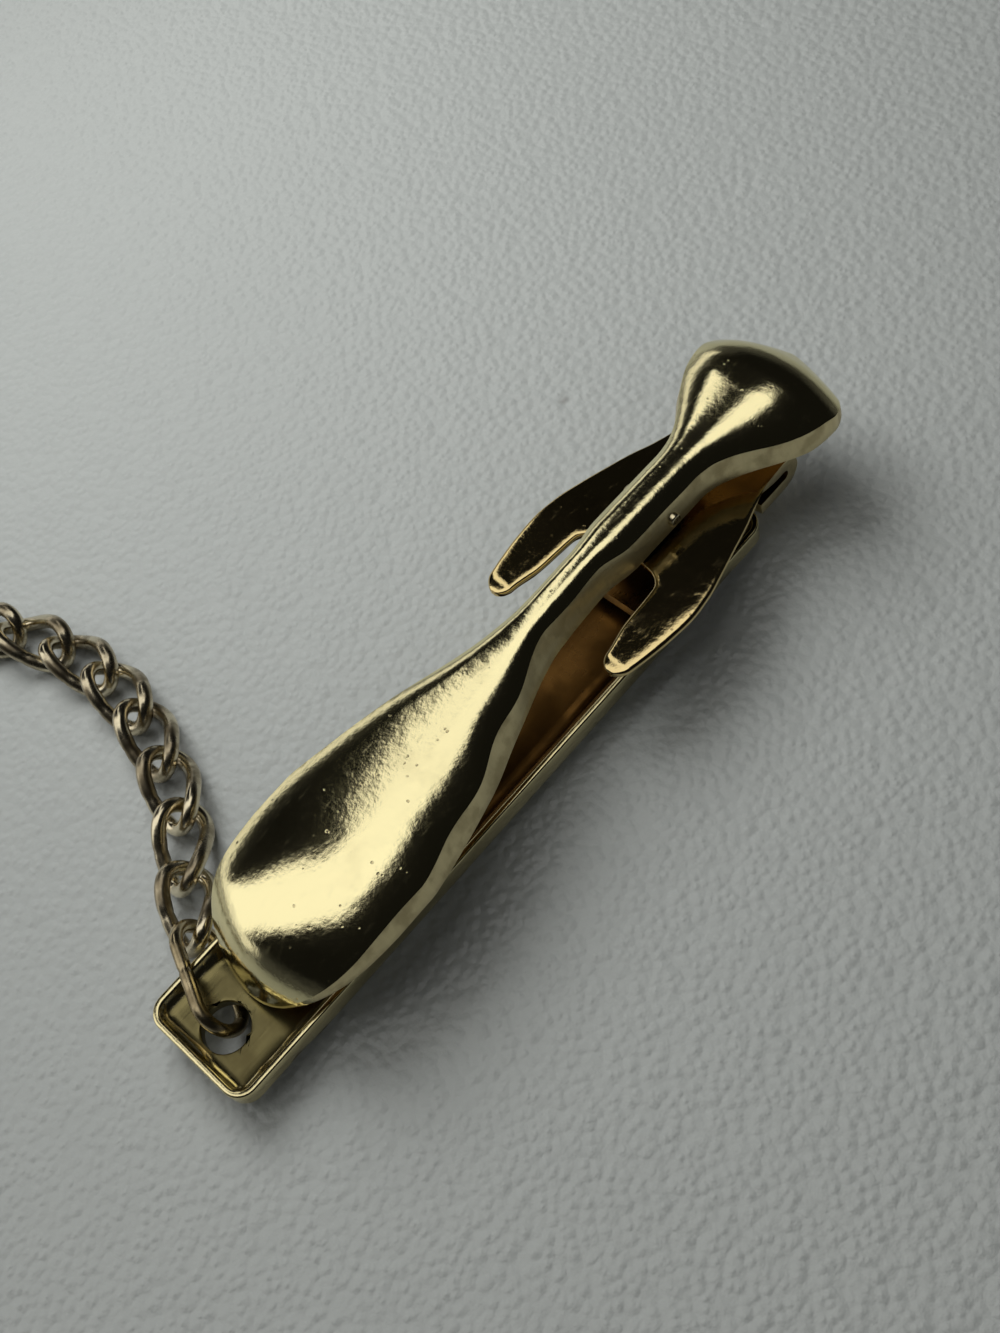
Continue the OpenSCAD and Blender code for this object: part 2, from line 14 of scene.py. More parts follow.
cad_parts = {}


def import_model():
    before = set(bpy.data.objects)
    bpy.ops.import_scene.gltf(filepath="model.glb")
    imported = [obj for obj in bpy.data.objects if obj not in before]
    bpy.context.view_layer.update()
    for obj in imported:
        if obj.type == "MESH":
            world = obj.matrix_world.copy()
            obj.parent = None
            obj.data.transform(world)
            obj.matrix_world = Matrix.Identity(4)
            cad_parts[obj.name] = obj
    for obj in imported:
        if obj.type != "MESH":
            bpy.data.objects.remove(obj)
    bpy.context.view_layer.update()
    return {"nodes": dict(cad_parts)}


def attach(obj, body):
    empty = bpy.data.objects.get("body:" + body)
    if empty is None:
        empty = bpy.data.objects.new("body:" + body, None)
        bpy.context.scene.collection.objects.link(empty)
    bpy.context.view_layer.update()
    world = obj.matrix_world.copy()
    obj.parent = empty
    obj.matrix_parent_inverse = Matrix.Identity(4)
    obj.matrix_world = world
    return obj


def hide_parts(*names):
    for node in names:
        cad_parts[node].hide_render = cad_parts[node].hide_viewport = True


MM = 0.001
PHOTO_HEIGHT = 1333
log = logging.getLogger("tie_clip")

Number = Union[float, "Value"]
Colour = tuple[float, float, float]
Triple = tuple[float, float, float]
Shape = Callable[[np.ndarray, np.ndarray], np.ndarray]


# ---- shader arithmetic


class Value:
    """A shader socket that can be used in Python arithmetic."""

    def __init__(self, graph: "Graph", socket: Optional[bpy.types.NodeSocket]) -> None:
        """Keeps the socket and the graph it belongs to."""
        self.graph = graph
        self.socket = socket

    def math(self, operation: str, *others: Number) -> "Value":
        """Adds one Math node that starts from this value."""
        inputs = dict(enumerate((self, *others)))
        return self.graph.add("ShaderNodeMath", {"operation": operation}, inputs)

    def __add__(self, other: Number) -> "Value":
        """Sum of two values."""
        return self.math("ADD", other)

    __radd__ = __add__

    def __mul__(self, other: Number) -> "Value":
        """Product of two values."""
        return self.math("MULTIPLY", other)

    __rmul__ = __mul__

    def __sub__(self, other: Number) -> "Value":
        """Difference of two values."""
        return self.math("SUBTRACT", other)

    def __rsub__(self, other: Number) -> "Value":
        """Difference with this value taken off a number."""
        return self.math("MULTIPLY", -1.0) + other

    def step(self, low: float, high: float) -> "Value":
        """Goes smoothly from 0 at low to 1 at high."""
        sockets = {"Value": self, "From Min": low, "From Max": high}
        return self.graph.add("ShaderNodeMapRange", {"interpolation_type": "SMOOTHSTEP"}, sockets)


class Graph:
    """The node tree of one material or of the world."""

    def __init__(self, tree: bpy.types.NodeTree) -> None:
        """Starts from an empty tree."""
        self.tree = tree
        tree.nodes.clear()

    def add(
        self,
        kind: str,
        settings: Optional[dict] = None,
        inputs: Optional[dict] = None,
        output: Union[int, str] = 0,
    ) -> Value:
        """Adds a node, sets it up and feeds its sockets.

        Args:
            kind: the node's type name.
            settings: the node's own properties, such as a Math node's operation.
            inputs: a number, a colour or a Value for each socket name or index.
            output: which output is returned.

        Returns:
            The chosen output.
        """
        node = self.tree.nodes.new(kind)
        for name, setting in (settings or {}).items():
            setattr(node, name, setting)
        for name, item in (inputs or {}).items():
            if isinstance(item, Value):
                self.tree.links.new(item.socket, node.inputs[name])
            else:
                node.inputs[name].default_value = item
        return Value(self, node.outputs[output] if node.outputs else None)

    def place(self) -> Value:
        """Object coordinates, in metres in the clip's own frame."""
        return self.add("ShaderNodeTexCoord", output="Object")

    def stretched(self, stretch: Triple, turn: float = 0.0) -> Value:
        """Object coordinates that are scaled on each axis and turned about Z."""
        sockets = {"Vector": self.place(), "Rotation": (0.0, 0.0, turn), "Scale": stretch}
        return self.add("ShaderNodeMapping", {"vector_type": "POINT"}, sockets)

    def grain(self, scale: float, detail: float = 3.0, at: Optional[Value] = None) -> Value:
        """Noise between 0 and 1, by its waves per metre and its octaves of finer noise."""
        return self.add("ShaderNodeTexNoise", None, {
            "Vector": at or self.place(), "Scale": scale, "Detail": detail, "Roughness": 0.55})

    def cells(self, scale: float) -> Value:
        """Distance to the nearest of scattered points."""
        sockets = {"Vector": self.place(), "Scale": scale, "Randomness": 1.0}
        return self.add("ShaderNodeTexVoronoi", {"feature": "F1"}, sockets)

    def blend(self, mask: Number, low: Union[Colour, Value], high: Union[Colour, Value]) -> Value:
        """Mixes two colours by a mask."""
        low, high = (part if isinstance(part, Value) else (*part, 1.0) for part in (low, high))
        return self.add("ShaderNodeMix", {"data_type": "RGBA"}, {0: mask, 6: low, 7: high}, 2)

    def along(self, way: Value, axis: Sequence[float]) -> Value:
        """How far a direction runs along an axis."""
        settings = {"operation": "DOT_PRODUCT"}
        return self.add("ShaderNodeVectorMath", settings, {0: way, 1: axis}, "Value")

    def relief(self, height: Value, depth_mm: float, strength: float = 1.0) -> Value:
        """Bump made from a height between 0 and 1."""
        sockets = {"Height": height, "Distance": depth_mm * MM, "Strength": strength}
        return self.add("ShaderNodeBump", None, sockets)


# ---- finishes

Surface = tuple[Value, Value, Value]


@dataclass(frozen=True)
class Finish:
    """What every metal finish has: a name, a clean and a worn colour, and its roughness."""

    name: str
    clean: Colour
    worn: Colour
    roughness: float
    metallic: float = 1.0

    def material(self) -> bpy.types.Material:
        """Builds the material once and hands out the same one after that.

        Returns:
            The material.
        """
        known = bpy.data.materials.get(self.name)
        if known is not None:
            return known
        material = bpy.data.materials.new(self.name)
        material.use_nodes = True
        graph = Graph(material.node_tree)
        colour, roughness, normal = self.surface(graph)
        sockets = {"Base Color": colour, "Roughness": roughness, "Normal": normal,
                   "Metallic": self.metallic}
        shader = graph.add("ShaderNodeBsdfPrincipled", None, sockets)
        graph.add("ShaderNodeOutputMaterial", None, {"Surface": shader})
        material.diffuse_color = (*self.clean, 1.0)
        return material

    def surface(self, graph: Graph) -> Surface:
        """Colour, roughness and normal of the surface; each finish has its own."""
        raise NotImplementedError


@dataclass(frozen=True)
class PolishedPlate(Finish):
    """Polished gold plate with fine pits, rubs and a soft waviness."""

    pits: float = 0.5

    def surface(self, graph: Graph) -> Surface:
        """Pits and rubs darken and dull the plate; slow ripples break up its highlights.

        Args:
            graph: the material's node tree.

        Returns:
            Colour, roughness and normal.
        """
        broad = graph.grain(260.0, 4.0)
        fine = graph.grain(5200.0, 4.0)
        medium = graph.grain(1500.0, 3.0)
        pit = graph.cells(1700.0).step(0.17, 0.08)
        pit = pit * graph.grain(700.0, 2.0).step(0.5, 0.6) * self.pits
        rub = graph.grain(900.0, 6.0, graph.stretched((1.0, 3.2, 1.0), 0.5)).step(0.56, 0.72)
        tarnish = broad.step(0.5, 0.78) * 0.3 + pit
        colour = graph.blend(tarnish.math("MINIMUM", 1.0), self.clean, self.worn)
        roughness = rub * 0.08 + fine * 0.05 + pit * 0.3 + self.roughness
        height = graph.grain(420.0, 3.0) * 0.03 + medium * 0.009 + fine * 0.005 - pit * 0.012
        return colour, roughness, graph.relief(height, 1.0)


@dataclass(frozen=True)
class BrushedPlate(Finish):
    """Gold plate with long scratches and dull rubbed patches."""

    lacquer: Colour = (0.17, 0.085, 0.022)
    # Where the painted shade under the lever and the brown lacquer begin, in millimetres along the
    # bar.
    lacquer_from: float = -14.5

    def surface(self, graph: Graph) -> Surface:
        """Scratches run mostly along the bar; from a set place on, under the lever, the metal
        darkens to brown: partly the inside's brown lacquer, partly painted shade of the lever.

        Args:
            graph: the material's node tree.

        Returns:
            Colour, roughness and normal.
        """
        along = graph.grain(1300.0, 5.0, graph.stretched((0.12, 1.6, 1.0), 0.06))
        across = graph.grain(900.0, 4.0, graph.stretched((2.2, 0.25, 1.0), 0.5))
        patch = graph.grain(330.0, 4.0).step(0.42, 0.7)
        scratch = along * 0.7 + across * 0.3
        bare = graph.blend(patch * 0.6 + scratch.step(0.55, 0.7) * 0.3, self.clean, self.worn)
        shaded_lacquer = graph.blend(patch * 0.7, self.lacquer, tuple(part * 0.45 for part in self.lacquer))
        x = graph.add("ShaderNodeSeparateXYZ", None, {0: graph.place()}, 0)
        begin = self.lacquer_from * MM
        # Painted shade: past this place, under the lever, the colour turns dark brown, mixed with
        # the lacquer's own brown.
        lacquer_and_shade = (x + patch * 1.5 * MM).step(begin, begin + 5 * MM)
        colour = graph.blend(lacquer_and_shade, bare, shaded_lacquer)
        roughness = patch * 0.12 + scratch * 0.14 + self.roughness
        return colour, roughness, graph.relief(scratch, 0.03, 0.5)


@dataclass(frozen=True)
class CutEdge(Finish):
    """Sheared edge of the sheet, pale and matte, with the marks of the cut across it."""

    def surface(self, graph: Graph) -> Surface:
        """Short upright marks and rubbed spots.

        Args:
            graph: the material's node tree.

        Returns:
            Colour, roughness and normal.
        """
        marks = graph.grain(2400.0, 4.0, graph.stretched((1.0, 1.0, 0.15)))
        rubbed = graph.grain(800.0, 4.0).step(0.45, 0.65)
        colour = graph.blend(rubbed * 0.35 + marks * 0.5, self.clean, self.worn)
        roughness = rubbed * 0.15 + marks * 0.15 + self.roughness
        return colour, roughness, graph.relief(marks, 0.025, 0.6)


@dataclass(frozen=True)
class AgedWire(Finish):
    """Drawn brass wire whose dark patina is rubbed away in places."""

    def surface(self, graph: Graph) -> Surface:
        """Patina in soft patches, with bright rubs and small knocks.

        Args:
            graph: the material's node tree.

        Returns:
            Colour, roughness and normal.
        """
        patina = graph.grain(520.0, 5.0).step(0.4, 0.66)
        knocks = graph.grain(2300.0, 4.0)
        colour = graph.blend(patina, self.clean, self.worn)
        roughness = patina * 0.16 + knocks * 0.12 + self.roughness
        return colour, roughness, graph.relief(knocks, 0.025, 0.4)


@dataclass(frozen=True)
class PlainSteel(Finish):
    """Bright steel of the pin and the spring with fine turning marks."""

    def surface(self, graph: Graph) -> Surface:
        """Fine marks and a little staining.

        Args:
            graph: the material's node tree.

        Returns:
            Colour, roughness and normal.
        """
        marks = graph.grain(3000.0, 3.0, graph.stretched((1.0, 0.3, 1.0)))
        stain = graph.grain(600.0, 3.0).step(0.5, 0.75)
        colour = graph.blend(stain, self.clean, self.worn)
        return colour, marks * 0.15 + stain * 0.15 + self.roughness, graph.relief(marks, 0.01, 0.4)


@dataclass(frozen=True)
class GrainedTable(Finish):
    """Pale laminate with a soft pebbled grain."""

    def surface(self, graph: Graph) -> Surface:
        """Low pebbles with faint dust between them.

        Args:
            graph: the material's node tree.

        Returns:
            Colour, roughness and normal.
        """
        warp = graph.grain(420.0, 2.0)
        pebbles = graph.add("ShaderNodeTexVoronoi", {"feature": "SMOOTH_F1"},
                            {"Vector": graph.place(), "Scale": 2000.0, "Smoothness": 0.6})
        pebbles = 1 - pebbles * 0.9 + graph.grain(3600.0, 2.0) * 0.3 + warp * 0.15
        dust = graph.cells(95.0).step(0.045, 0.02) * graph.grain(240.0, 2.0).step(0.5, 0.6)
        tone = graph.grain(30.0, 3.0) * 0.5 + warp * 0.3
        colour = graph.blend(tone, self.clean, self.worn)
        colour = graph.blend(dust * 0.5, colour, (0.12, 0.11, 0.1))
        return colour, warp * 0.1 + self.roughness, graph.relief(pebbles, 0.12)


SPOON_GOLD = PolishedPlate("polished_gold_plate", (0.86, 0.775, 0.45), (0.3, 0.24, 0.12), 0.08)
FORK_GOLD = PolishedPlate("bracket_gold_plate", (0.72, 0.57, 0.28), (0.2, 0.13, 0.05), 0.05,
                          pits=0.25)
BAR_GOLD = PolishedPlate("bar_gold_plate", (0.78, 0.69, 0.4), (0.25, 0.2, 0.1), 0.13)
# The dish's dark brown from -14.5 mm on is painted shade of the lever over the lacquer's brown.
DISH_GOLD = BrushedPlate("brushed_dish_gold", (0.21, 0.18, 0.08), (0.1, 0.08, 0.035), 0.2)
AMBER_GOLD = BrushedPlate("amber_inner_face", (0.3, 0.15, 0.04), (0.14, 0.06, 0.02), 0.2,
                          lacquer_from=-40.0)
PALE_EDGE = CutEdge("pale_cut_edge", (0.8, 0.69, 0.4), (0.44, 0.36, 0.19), 0.24,
                    metallic=0.9)
CHAIN_BRASS = AgedWire("aged_chain_brass", (0.72, 0.64, 0.46), (0.28, 0.23, 0.15), 0.14)
RING_BRASS = AgedWire("aged_ring_brass", (0.6, 0.5, 0.31), (0.24, 0.19, 0.11), 0.15)
PIN_STEEL = PlainSteel("pin_steel", (0.7, 0.62, 0.42), (0.3, 0.24, 0.14), 0.2)
SPRING_STEEL = PlainSteel("spring_wire_steel", (0.58, 0.57, 0.55), (0.26, 0.23, 0.2), 0.22)
TABLE_GRAIN = GrainedTable("pebbled_table", (0.375, 0.396, 0.386), (0.335, 0.354, 0.347), 0.3,
                           metallic=0.0)


# ---- modelling


class Part(Enum):
    """What is selected in edit mode."""

    VERTS = "VERT"
    EDGES = "EDGE"
    FACES = "FACE"


class Coat(IntEnum):
    """Which of a piece's finishes a face has."""

    OUTER = 0
    INNER = 1
    CUT = 2


Test = Callable[[object], bool]


def every(part: object) -> bool:
    """Chooses every part."""
    return True


class Workpiece:
    """One mesh on the bench, shaped in edit mode with Blender's own operators."""

    def __init__(self, name: str, add: Callable[..., set], **sizes: object) -> None:
        """Adds a primitive with nothing else selected.

        Args:
            name: the piece's name.
            add: the operator that adds the primitive.
            sizes: what the operator is given.
        """
        bpy.ops.object.select_all(action="DESELECT")
        add(**sizes)
        self.item = bpy.context.view_layer.objects.active
        self.item.name = name
        self.item.data.name = name

    def only(self) -> None:
        """Makes this the one selected and active object."""
        bpy.ops.object.select_all(action="DESELECT")
        self.item.select_set(True)
        bpy.context.view_layer.objects.active = self.item

    def settle(self) -> "Workpiece":
        """Moves the object's place, turn and scale into its mesh.

        Returns:
            This workpiece.
        """
        self.only()
        bpy.ops.object.transform_apply(location=True, rotation=True, scale=True)
        return self

    def shape(self, move: Callable[[np.ndarray], np.ndarray]) -> "Workpiece":
        """Moves every vertex at once.

        Args:
            move: takes the vertices' places and returns the new ones, in metres.

        Returns:
            This workpiece.
        """
        mesh = self.item.data
        places = np.empty(len(mesh.vertices) * 3)
        mesh.vertices.foreach_get("co", places)
        mesh.vertices.foreach_set("co", np.asarray(move(places.reshape(-1, 3)), float).ravel())
        mesh.update()
        return self

    def edit(self, kind: Part, test: Test, step: Callable[[], object]) -> "Workpiece":
        """Selects parts of the mesh by a test and runs an operator on them.

        Args:
            kind: what is selected.
            test: says whether a part is selected.
            step: the operator call.

        Returns:
            This workpiece.
        """
        self.only()
        bpy.ops.object.mode_set(mode="EDIT")
        bpy.ops.mesh.select_mode(type=kind.value)
        bpy.ops.mesh.select_all(action="DESELECT")
        mesh = bmesh.from_edit_mesh(self.item.data)
        parts = getattr(mesh, kind.name.lower())
        parts.ensure_lookup_table()
        for part in [part for part in parts if test(part)]:
            part.select_set(True)
        mesh.select_flush_mode()
        bmesh.update_edit_mesh(self.item.data)
        step()
        bpy.ops.object.mode_set(mode="OBJECT")
        return self

    def weld(self, reach: float) -> "Workpiece":
        """Merges vertices that share a place."""
        return self.edit(Part.VERTS, every, lambda: bpy.ops.mesh.remove_doubles(threshold=reach))

    def face_out(self) -> "Workpiece":
        """Turns the faces of a closed mesh outwards."""
        return self.edit(Part.FACES, every,
                         lambda: bpy.ops.mesh.normals_make_consistent(inside=False))

    def round_edges(self, test: Test, width: float, segments: int) -> "Workpiece":
        """Bevels the edges that pass a test, by a width in millimetres."""
        return self.edit(Part.EDGES, test, lambda: bpy.ops.mesh.bevel(
            offset=width * MM, segments=segments, affect="EDGES"))

    def modify(self, kind: str, **settings: object) -> "Workpiece":
        """Adds one modifier and applies it.

        Args:
            kind: the modifier's type.
            settings: the modifier's properties.

        Returns:
            This workpiece.
        """
        self.only()
        modifier = self.item.modifiers.new(kind.title(), kind)
        for name, setting in settings.items():
            setattr(modifier, name, setting)
        bpy.ops.object.modifier_apply(modifier=modifier.name)
        return self

    def thicken(self, sheet: float, edge: float, sharp: float) -> "Workpiece":
        """Gives a sheet its thickness inwards, and rounds its edges.

        Args:
            sheet: the thickness in millimetres.
            edge: the width of the round in millimetres.
            sharp: edges sharper than this angle in degrees are rounded.

        Returns:
            This workpiece.
        """
        self.modify("SOLIDIFY", thickness=sheet * MM, offset=-1.0, material_offset=Coat.INNER,
                    material_offset_rim=Coat.CUT)
        return self.modify("BEVEL", width=edge * MM, segments=2, limit_method="ANGLE",
                           angle_limit=math.radians(sharp))

    def carve(self, tool: "Workpiece") -> "Workpiece":
        """Cuts with another workpiece and takes that away.

        Args:
            tool: the workpiece that cuts.

        Returns:
            This workpiece.
        """
        self.modify("BOOLEAN", object=tool.item, operation="DIFFERENCE", solver="EXACT")
        bpy.data.objects.remove(tool.item)
        return self

    def join(self, other: "Workpiece") -> "Workpiece":
        """Adds another workpiece's mesh to this one.

        Args:
            other: the workpiece that is added.

        Returns:
            This workpiece.
        """
        self.only()
        other.item.select_set(True)
        bpy.ops.object.join()
        return self

    def smooth(self, degrees: float) -> "Workpiece":
        """Shades smooth, apart from the sharper edges.

        Args:
            degrees: edges sharper than this angle stay sharp.

        Returns:
            This workpiece.
        """
        self.only()
        bpy.ops.object.shade_smooth_by_angle(angle=math.radians(degrees))
        return self

    def paint(self, choose: Callable[[Vector, Vector], Coat]) -> "Workpiece":
        """Gives each face one of the finishes.

        Args:
            choose: gives the finish for a face's middle, in millimetres, and its normal.

        Returns:
            This workpiece.
        """
        for face in self.item.data.polygons:
            face.material_index = choose(face.center / MM, face.normal)
        return self

    def put(self, place: Matrix) -> "Workpiece":
        """Moves the mesh by a matrix in millimetres."""
        self.item.data.transform(Matrix.Scale(MM, 4) @ place @ Matrix.Scale(1 / MM, 4))
        return self

    def copy(self, name: str) -> "Workpiece":
        """Makes a copy with its own mesh.

        Args:
            name: the copy's name.

        Returns:
            The copy.
        """
        twin = object.__new__(Workpiece)
        twin.item = self.item.copy()
        twin.item.data = self.item.data.copy()
        twin.item.name = name
        twin.item.data.name = name
        bpy.context.scene.collection.objects.link(twin.item)
        return twin

    def dress(self, *finishes: Finish) -> "Workpiece":
        """Gives the piece its finishes, before any face is painted or thickened.

        Args:
            finishes: the outer finish, and where it has them the inner and the cut edge's.

        Returns:
            This workpiece.
        """
        for finish in finishes:
            self.item.data.materials.append(finish.material())
        return self

    def hand_in(self, body: str, node: str, slot: str, *finishes: Finish) -> None:
        """Puts the piece on its body in place of the CAD node, and reports it.

        Args:
            body: the CAD body that it moves with.
            node: the CAD node that it stands for.
            slot: the record's material slot; it is not used.
            finishes: what it is dressed in, where it isn't yet.
        """
        self.dress(*finishes)
        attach(self.item, body)
        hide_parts(node)
        triangles = sum(len(face.vertices) - 2 for face in self.item.data.polygons)
        log.info("%s rides on %s, %d triangles", self.item.name, body, triangles)


def block(name: str, size: Triple, middle: Triple) -> Workpiece:
    """A block of a size and at a place in millimetres.

    Args:
        name: the piece's name.
        size: its length, width and height.
        middle: where its middle is.

    Returns:
        The block, with its place in its mesh.
    """
    place = tuple(part * MM for part in middle)
    piece = Workpiece(name, bpy.ops.mesh.primitive_cube_add, size=1, location=place)
    piece.item.scale = tuple(part * MM for part in size)
    return piece.settle()


def hump(at: np.ndarray, middle: float, spread: float) -> np.ndarray:
    """A soft hump of height 1 round a place."""
    return np.exp(-(((at - middle) / spread) ** 2))


def smooth_curve(table: Sequence[tuple[float, float]], at: np.ndarray) -> np.ndarray:
    """Reads a table with a smooth curve that never overshoots it.

    Args:
        table: places and values, the places rising.
        at: the places to read.

    Returns:
        The values there.
    """
    xs, ys = np.array(table, float).T
    gaps = np.diff(xs)
    rises = np.diff(ys) / gaps
    slopes = np.concatenate([rises[:1], np.zeros(len(rises) - 1), rises[-1:]])
    same = rises[:-1] * rises[1:] > 0
    means = 2 * rises[:-1][same] * rises[1:][same] / (rises[:-1][same] + rises[1:][same])
    slopes[1:-1][same] = means
    i = np.clip(np.searchsorted(xs, at) - 1, 0, len(gaps) - 1)
    t = np.clip((at - xs[i]) / gaps[i], 0, 1)
    start = ys[i] * (1 + 2 * t) * (1 - t) ** 2 + gaps[i] * slopes[i] * t * (1 - t) ** 2
    end = ys[i + 1] * t * t * (3 - 2 * t) + gaps[i] * slopes[i + 1] * t * t * (t - 1)
    return start + end


def grid_piece(name: str, columns: int, rows: int, form: Shape) -> Workpiece:
    """A grid primitive laid over a form.

    Args:
        name: the piece's name.
        columns: faces along the form.
        rows: faces across the form.
        form: gives places in millimetres for shares along and across.

    Returns:
        The piece.
    """
    piece = Workpiece(name, bpy.ops.mesh.primitive_grid_add, x_subdivisions=columns,
                      y_subdivisions=rows, size=2)
    return piece.shape(lambda at: form((at[:, 0] + 1) / 2, (at[:, 1] + 1) / 2) * MM)


def ring_piece(name: str, around: int, sides: int, form: Shape) -> Workpiece:
    """A torus primitive laid over a closed form.

    Args:
        name: the piece's name.
        around: sections round the ring.
        sides: sides of each section.
        form: gives places in millimetres for shares around the ring and round its section.

    Returns:
        The piece.
    """
    piece = Workpiece(name, bpy.ops.mesh.primitive_torus_add, major_segments=around,
                      minor_segments=sides, major_radius=1, minor_radius=0.25)

    def laid(at: np.ndarray) -> np.ndarray:
        """Lays the torus over the form.

        Args:
            at: the vertices' places on the torus, which give their shares.

        Returns:
            Their places on the form, in metres.
        """
        round_ring = np.arctan2(at[:, 1], at[:, 0])
        out = np.hypot(at[:, 0], at[:, 1]) - 1
        round_section = np.arctan2(at[:, 2], out)
        major = np.round(round_ring / math.tau * around) % around
        minor = np.round(round_section / math.tau * sides) % sides
        return form(major / around, minor / sides) * MM

    return piece.shape(laid)


def wire_form(path: Callable[[np.ndarray], np.ndarray], radius: Shape) -> Shape:
    """The form of a round wire on a closed path.

    Args:
        path: places in millimetres for shares around the path.
        radius: the wire's radius for shares around the path and round the wire.

    Returns:
        The form.
    """

    def form(around: np.ndarray, section: np.ndarray) -> np.ndarray:
        """Places on the wire's surface.

        Args:
            around: shares of the way around the path.
            section: shares of the way round the wire.

        Returns:
            The places in millimetres.
        """
        small = 1e-4
        way = path(around + small) - path(around - small)
        way /= np.linalg.norm(way, axis=1)[:, None]
        side = np.cross(way, (0.0, 0.0, 1.0))
        side /= np.linalg.norm(side, axis=1)[:, None]
        up = np.cross(side, way)
        turn = (section * math.tau)[:, None]
        thick = radius(around, section)[:, None]
        return path(around) + thick * (np.cos(turn) * side + np.sin(turn) * up)

    return form


# ---- front bar


class Level(Enum):
    """What a ring of the bar's section is measured from."""

    FIXED = "the front face"
    DISH = "the floor of the dish"
    UNDER = "the underside"


@dataclass
class FrontBar:
    """The pressed dish that is the clip's front, lying face down."""

    length: float = 38.1
    width: float = 6.4
    height: float = 2.2
    sheet: float = 0.6
    rim: float = 0.45
    swell: float = 0.28
    end_lift: float = 1.1
    end_level: float = 3.2
    end_ramp: float = 4.0
    side_turn: float = 1.35
    corner: float = 0.8
    least_corner: float = 0.3
    hole_diameter: float = 2.5
    hole_inset: float = 1.85
    foot_room: float = 5.2
    hole_round: float = 0.1
    notch_length: float = 3.1
    notch_past: float = 0.6
    notch_floor: float = 1.7
    notch_near: float = 0.5
    rim_overlap: float = 0.03
    floor_from: float = 0.55
    square_to: float = 0.99
    long_steps: int = 66
    end_steps: int = 12
    corner_steps: int = 9

    def __post_init__(self) -> None:
        """Works out the outer reach, the hole's place and the sections."""
        self.reach_x = self.length / 2 + self.swell
        self.reach_y = self.width / 2 + self.swell
        self.hole_x = self.hole_inset - self.length / 2
        top = self.height
        dish, under, fixed = Level.DISH, Level.UNDER, Level.FIXED
        self.section = [
            (0.0, fixed, 1.6), (0.0, fixed, top - 0.11), (0.02, fixed, top - 0.05),
            (0.06, fixed, top - 0.01), (0.12, fixed, top), (0.2, fixed, top),
            (0.27, fixed, top - 0.01), (0.33, fixed, top - 0.04), (0.38, fixed, top - 0.1),
            (0.43, fixed, top - 0.2), (0.52, dish, 0.2), (0.62, dish, 0.12), (0.74, dish, 0.06),
            (0.9, dish, 0.02),
            *((inset, dish, 0) for inset in (1.1, 1.35, 1.65, 1.95, 2.3, 2.7, 3.1, self.reach_y)),
            *((inset, under, 0) for inset in (self.reach_y, 2.8, 2.1, 1.6, 1.35, 1.1, 0.85, 0.6,
                                              0.4, 0.24, 0.12, 0.04)),
            (0.0, fixed, 1.15),
        ]
        self.seam = next(i for i, ring in enumerate(self.section) if ring[1] is under)

    def outline(self, around: np.ndarray, inset: np.ndarray) -> np.ndarray:
        """The rounded oblong at an inset.

        Args:
            around: shares of the way round, from the middle of the head end.
            inset: how far inside the outer wall, in millimetres.

        Returns:
            X and Y in millimetres.
        """
        steps = [self.end_steps, self.corner_steps, self.long_steps, self.corner_steps] * 2
        total = sum(steps)
        place = (around * total + self.end_steps / 2) % total
        half = np.column_stack([self.reach_x - inset, self.reach_y - inset])
        least = np.minimum(self.least_corner, half[:, 1])
        radius = np.maximum(self.corner + self.swell - inset, least)
        flat = half - radius[:, None]
        result = np.zeros((len(place), 2))
        begin = 0
        signs = np.array([(1, 1), (-1, 1), (-1, -1), (1, -1)])
        for index, count in enumerate(steps):
            here = (place >= begin - 1e-6) & (place < begin + count - 1e-6)
            share = ((place[here] - begin) / count)[:, None]
            before, after = signs[index // 2 - 1], signs[index // 2]
            bends = index % 2
            turn = (index // 2 + bends * share) * math.pi / 2
            # Rounded, so that the ends' middles lie on the bar's middle line.
            arc = radius[here, None] * np.hstack([np.cos(turn), np.sin(turn)]).round(12)
            run = np.ones_like(share) if bends else share
            result[here] = (before + (after - before) * run) * flat[here] + arc
            begin += count
        return result

    def floor_height(self, x: np.ndarray, y: np.ndarray, inner: bool) -> np.ndarray:
        """Height of the dish's floor, or of its underside.

        Args:
            x: places along the bar.
            y: places across the bar.
            inner: whether this is the floor inside.

        Returns:
            The heights in millimetres.
        """
        reach = self.width / 2 - self.rim if inner else self.reach_y
        turn = self.side_turn - (self.sheet / 2 if inner else 0.0)
        base = self.sheet if inner else 0.0
        across = np.clip(1 - (reach - np.abs(y)) / turn, 0, 1)
        side = base + self.end_lift * (1 - np.sqrt(1 - across**2))
        past = np.abs(x) - self.length / 2 + self.end_level + self.end_ramp
        along = np.clip(past / self.end_ramp, 0, 1)
        end = base + self.end_lift * (1 - np.cos(math.pi * along)) / 2
        return np.maximum(side, end)

    def form(self, around: np.ndarray, section: np.ndarray) -> np.ndarray:
        """Places on the whole dish.

        Args:
            around: shares of the way round the dish.
            section: shares of the way round its section.

        Returns:
            The places in millimetres.
        """
        index = np.round(section * len(self.section)).astype(int) % len(self.section)
        inset = np.array([ring[0] for ring in self.section])[index]
        plan = self.outline(around, inset)
        height = np.zeros(len(plan))
        for k, (_, level, rise) in enumerate(self.section):
            here = index == k
            height[here] = rise
            if level is not Level.FIXED:
                height[here] += self.floor_height(plan[here, 0], plan[here, 1], level is Level.DISH)
        return np.column_stack([plan, height])

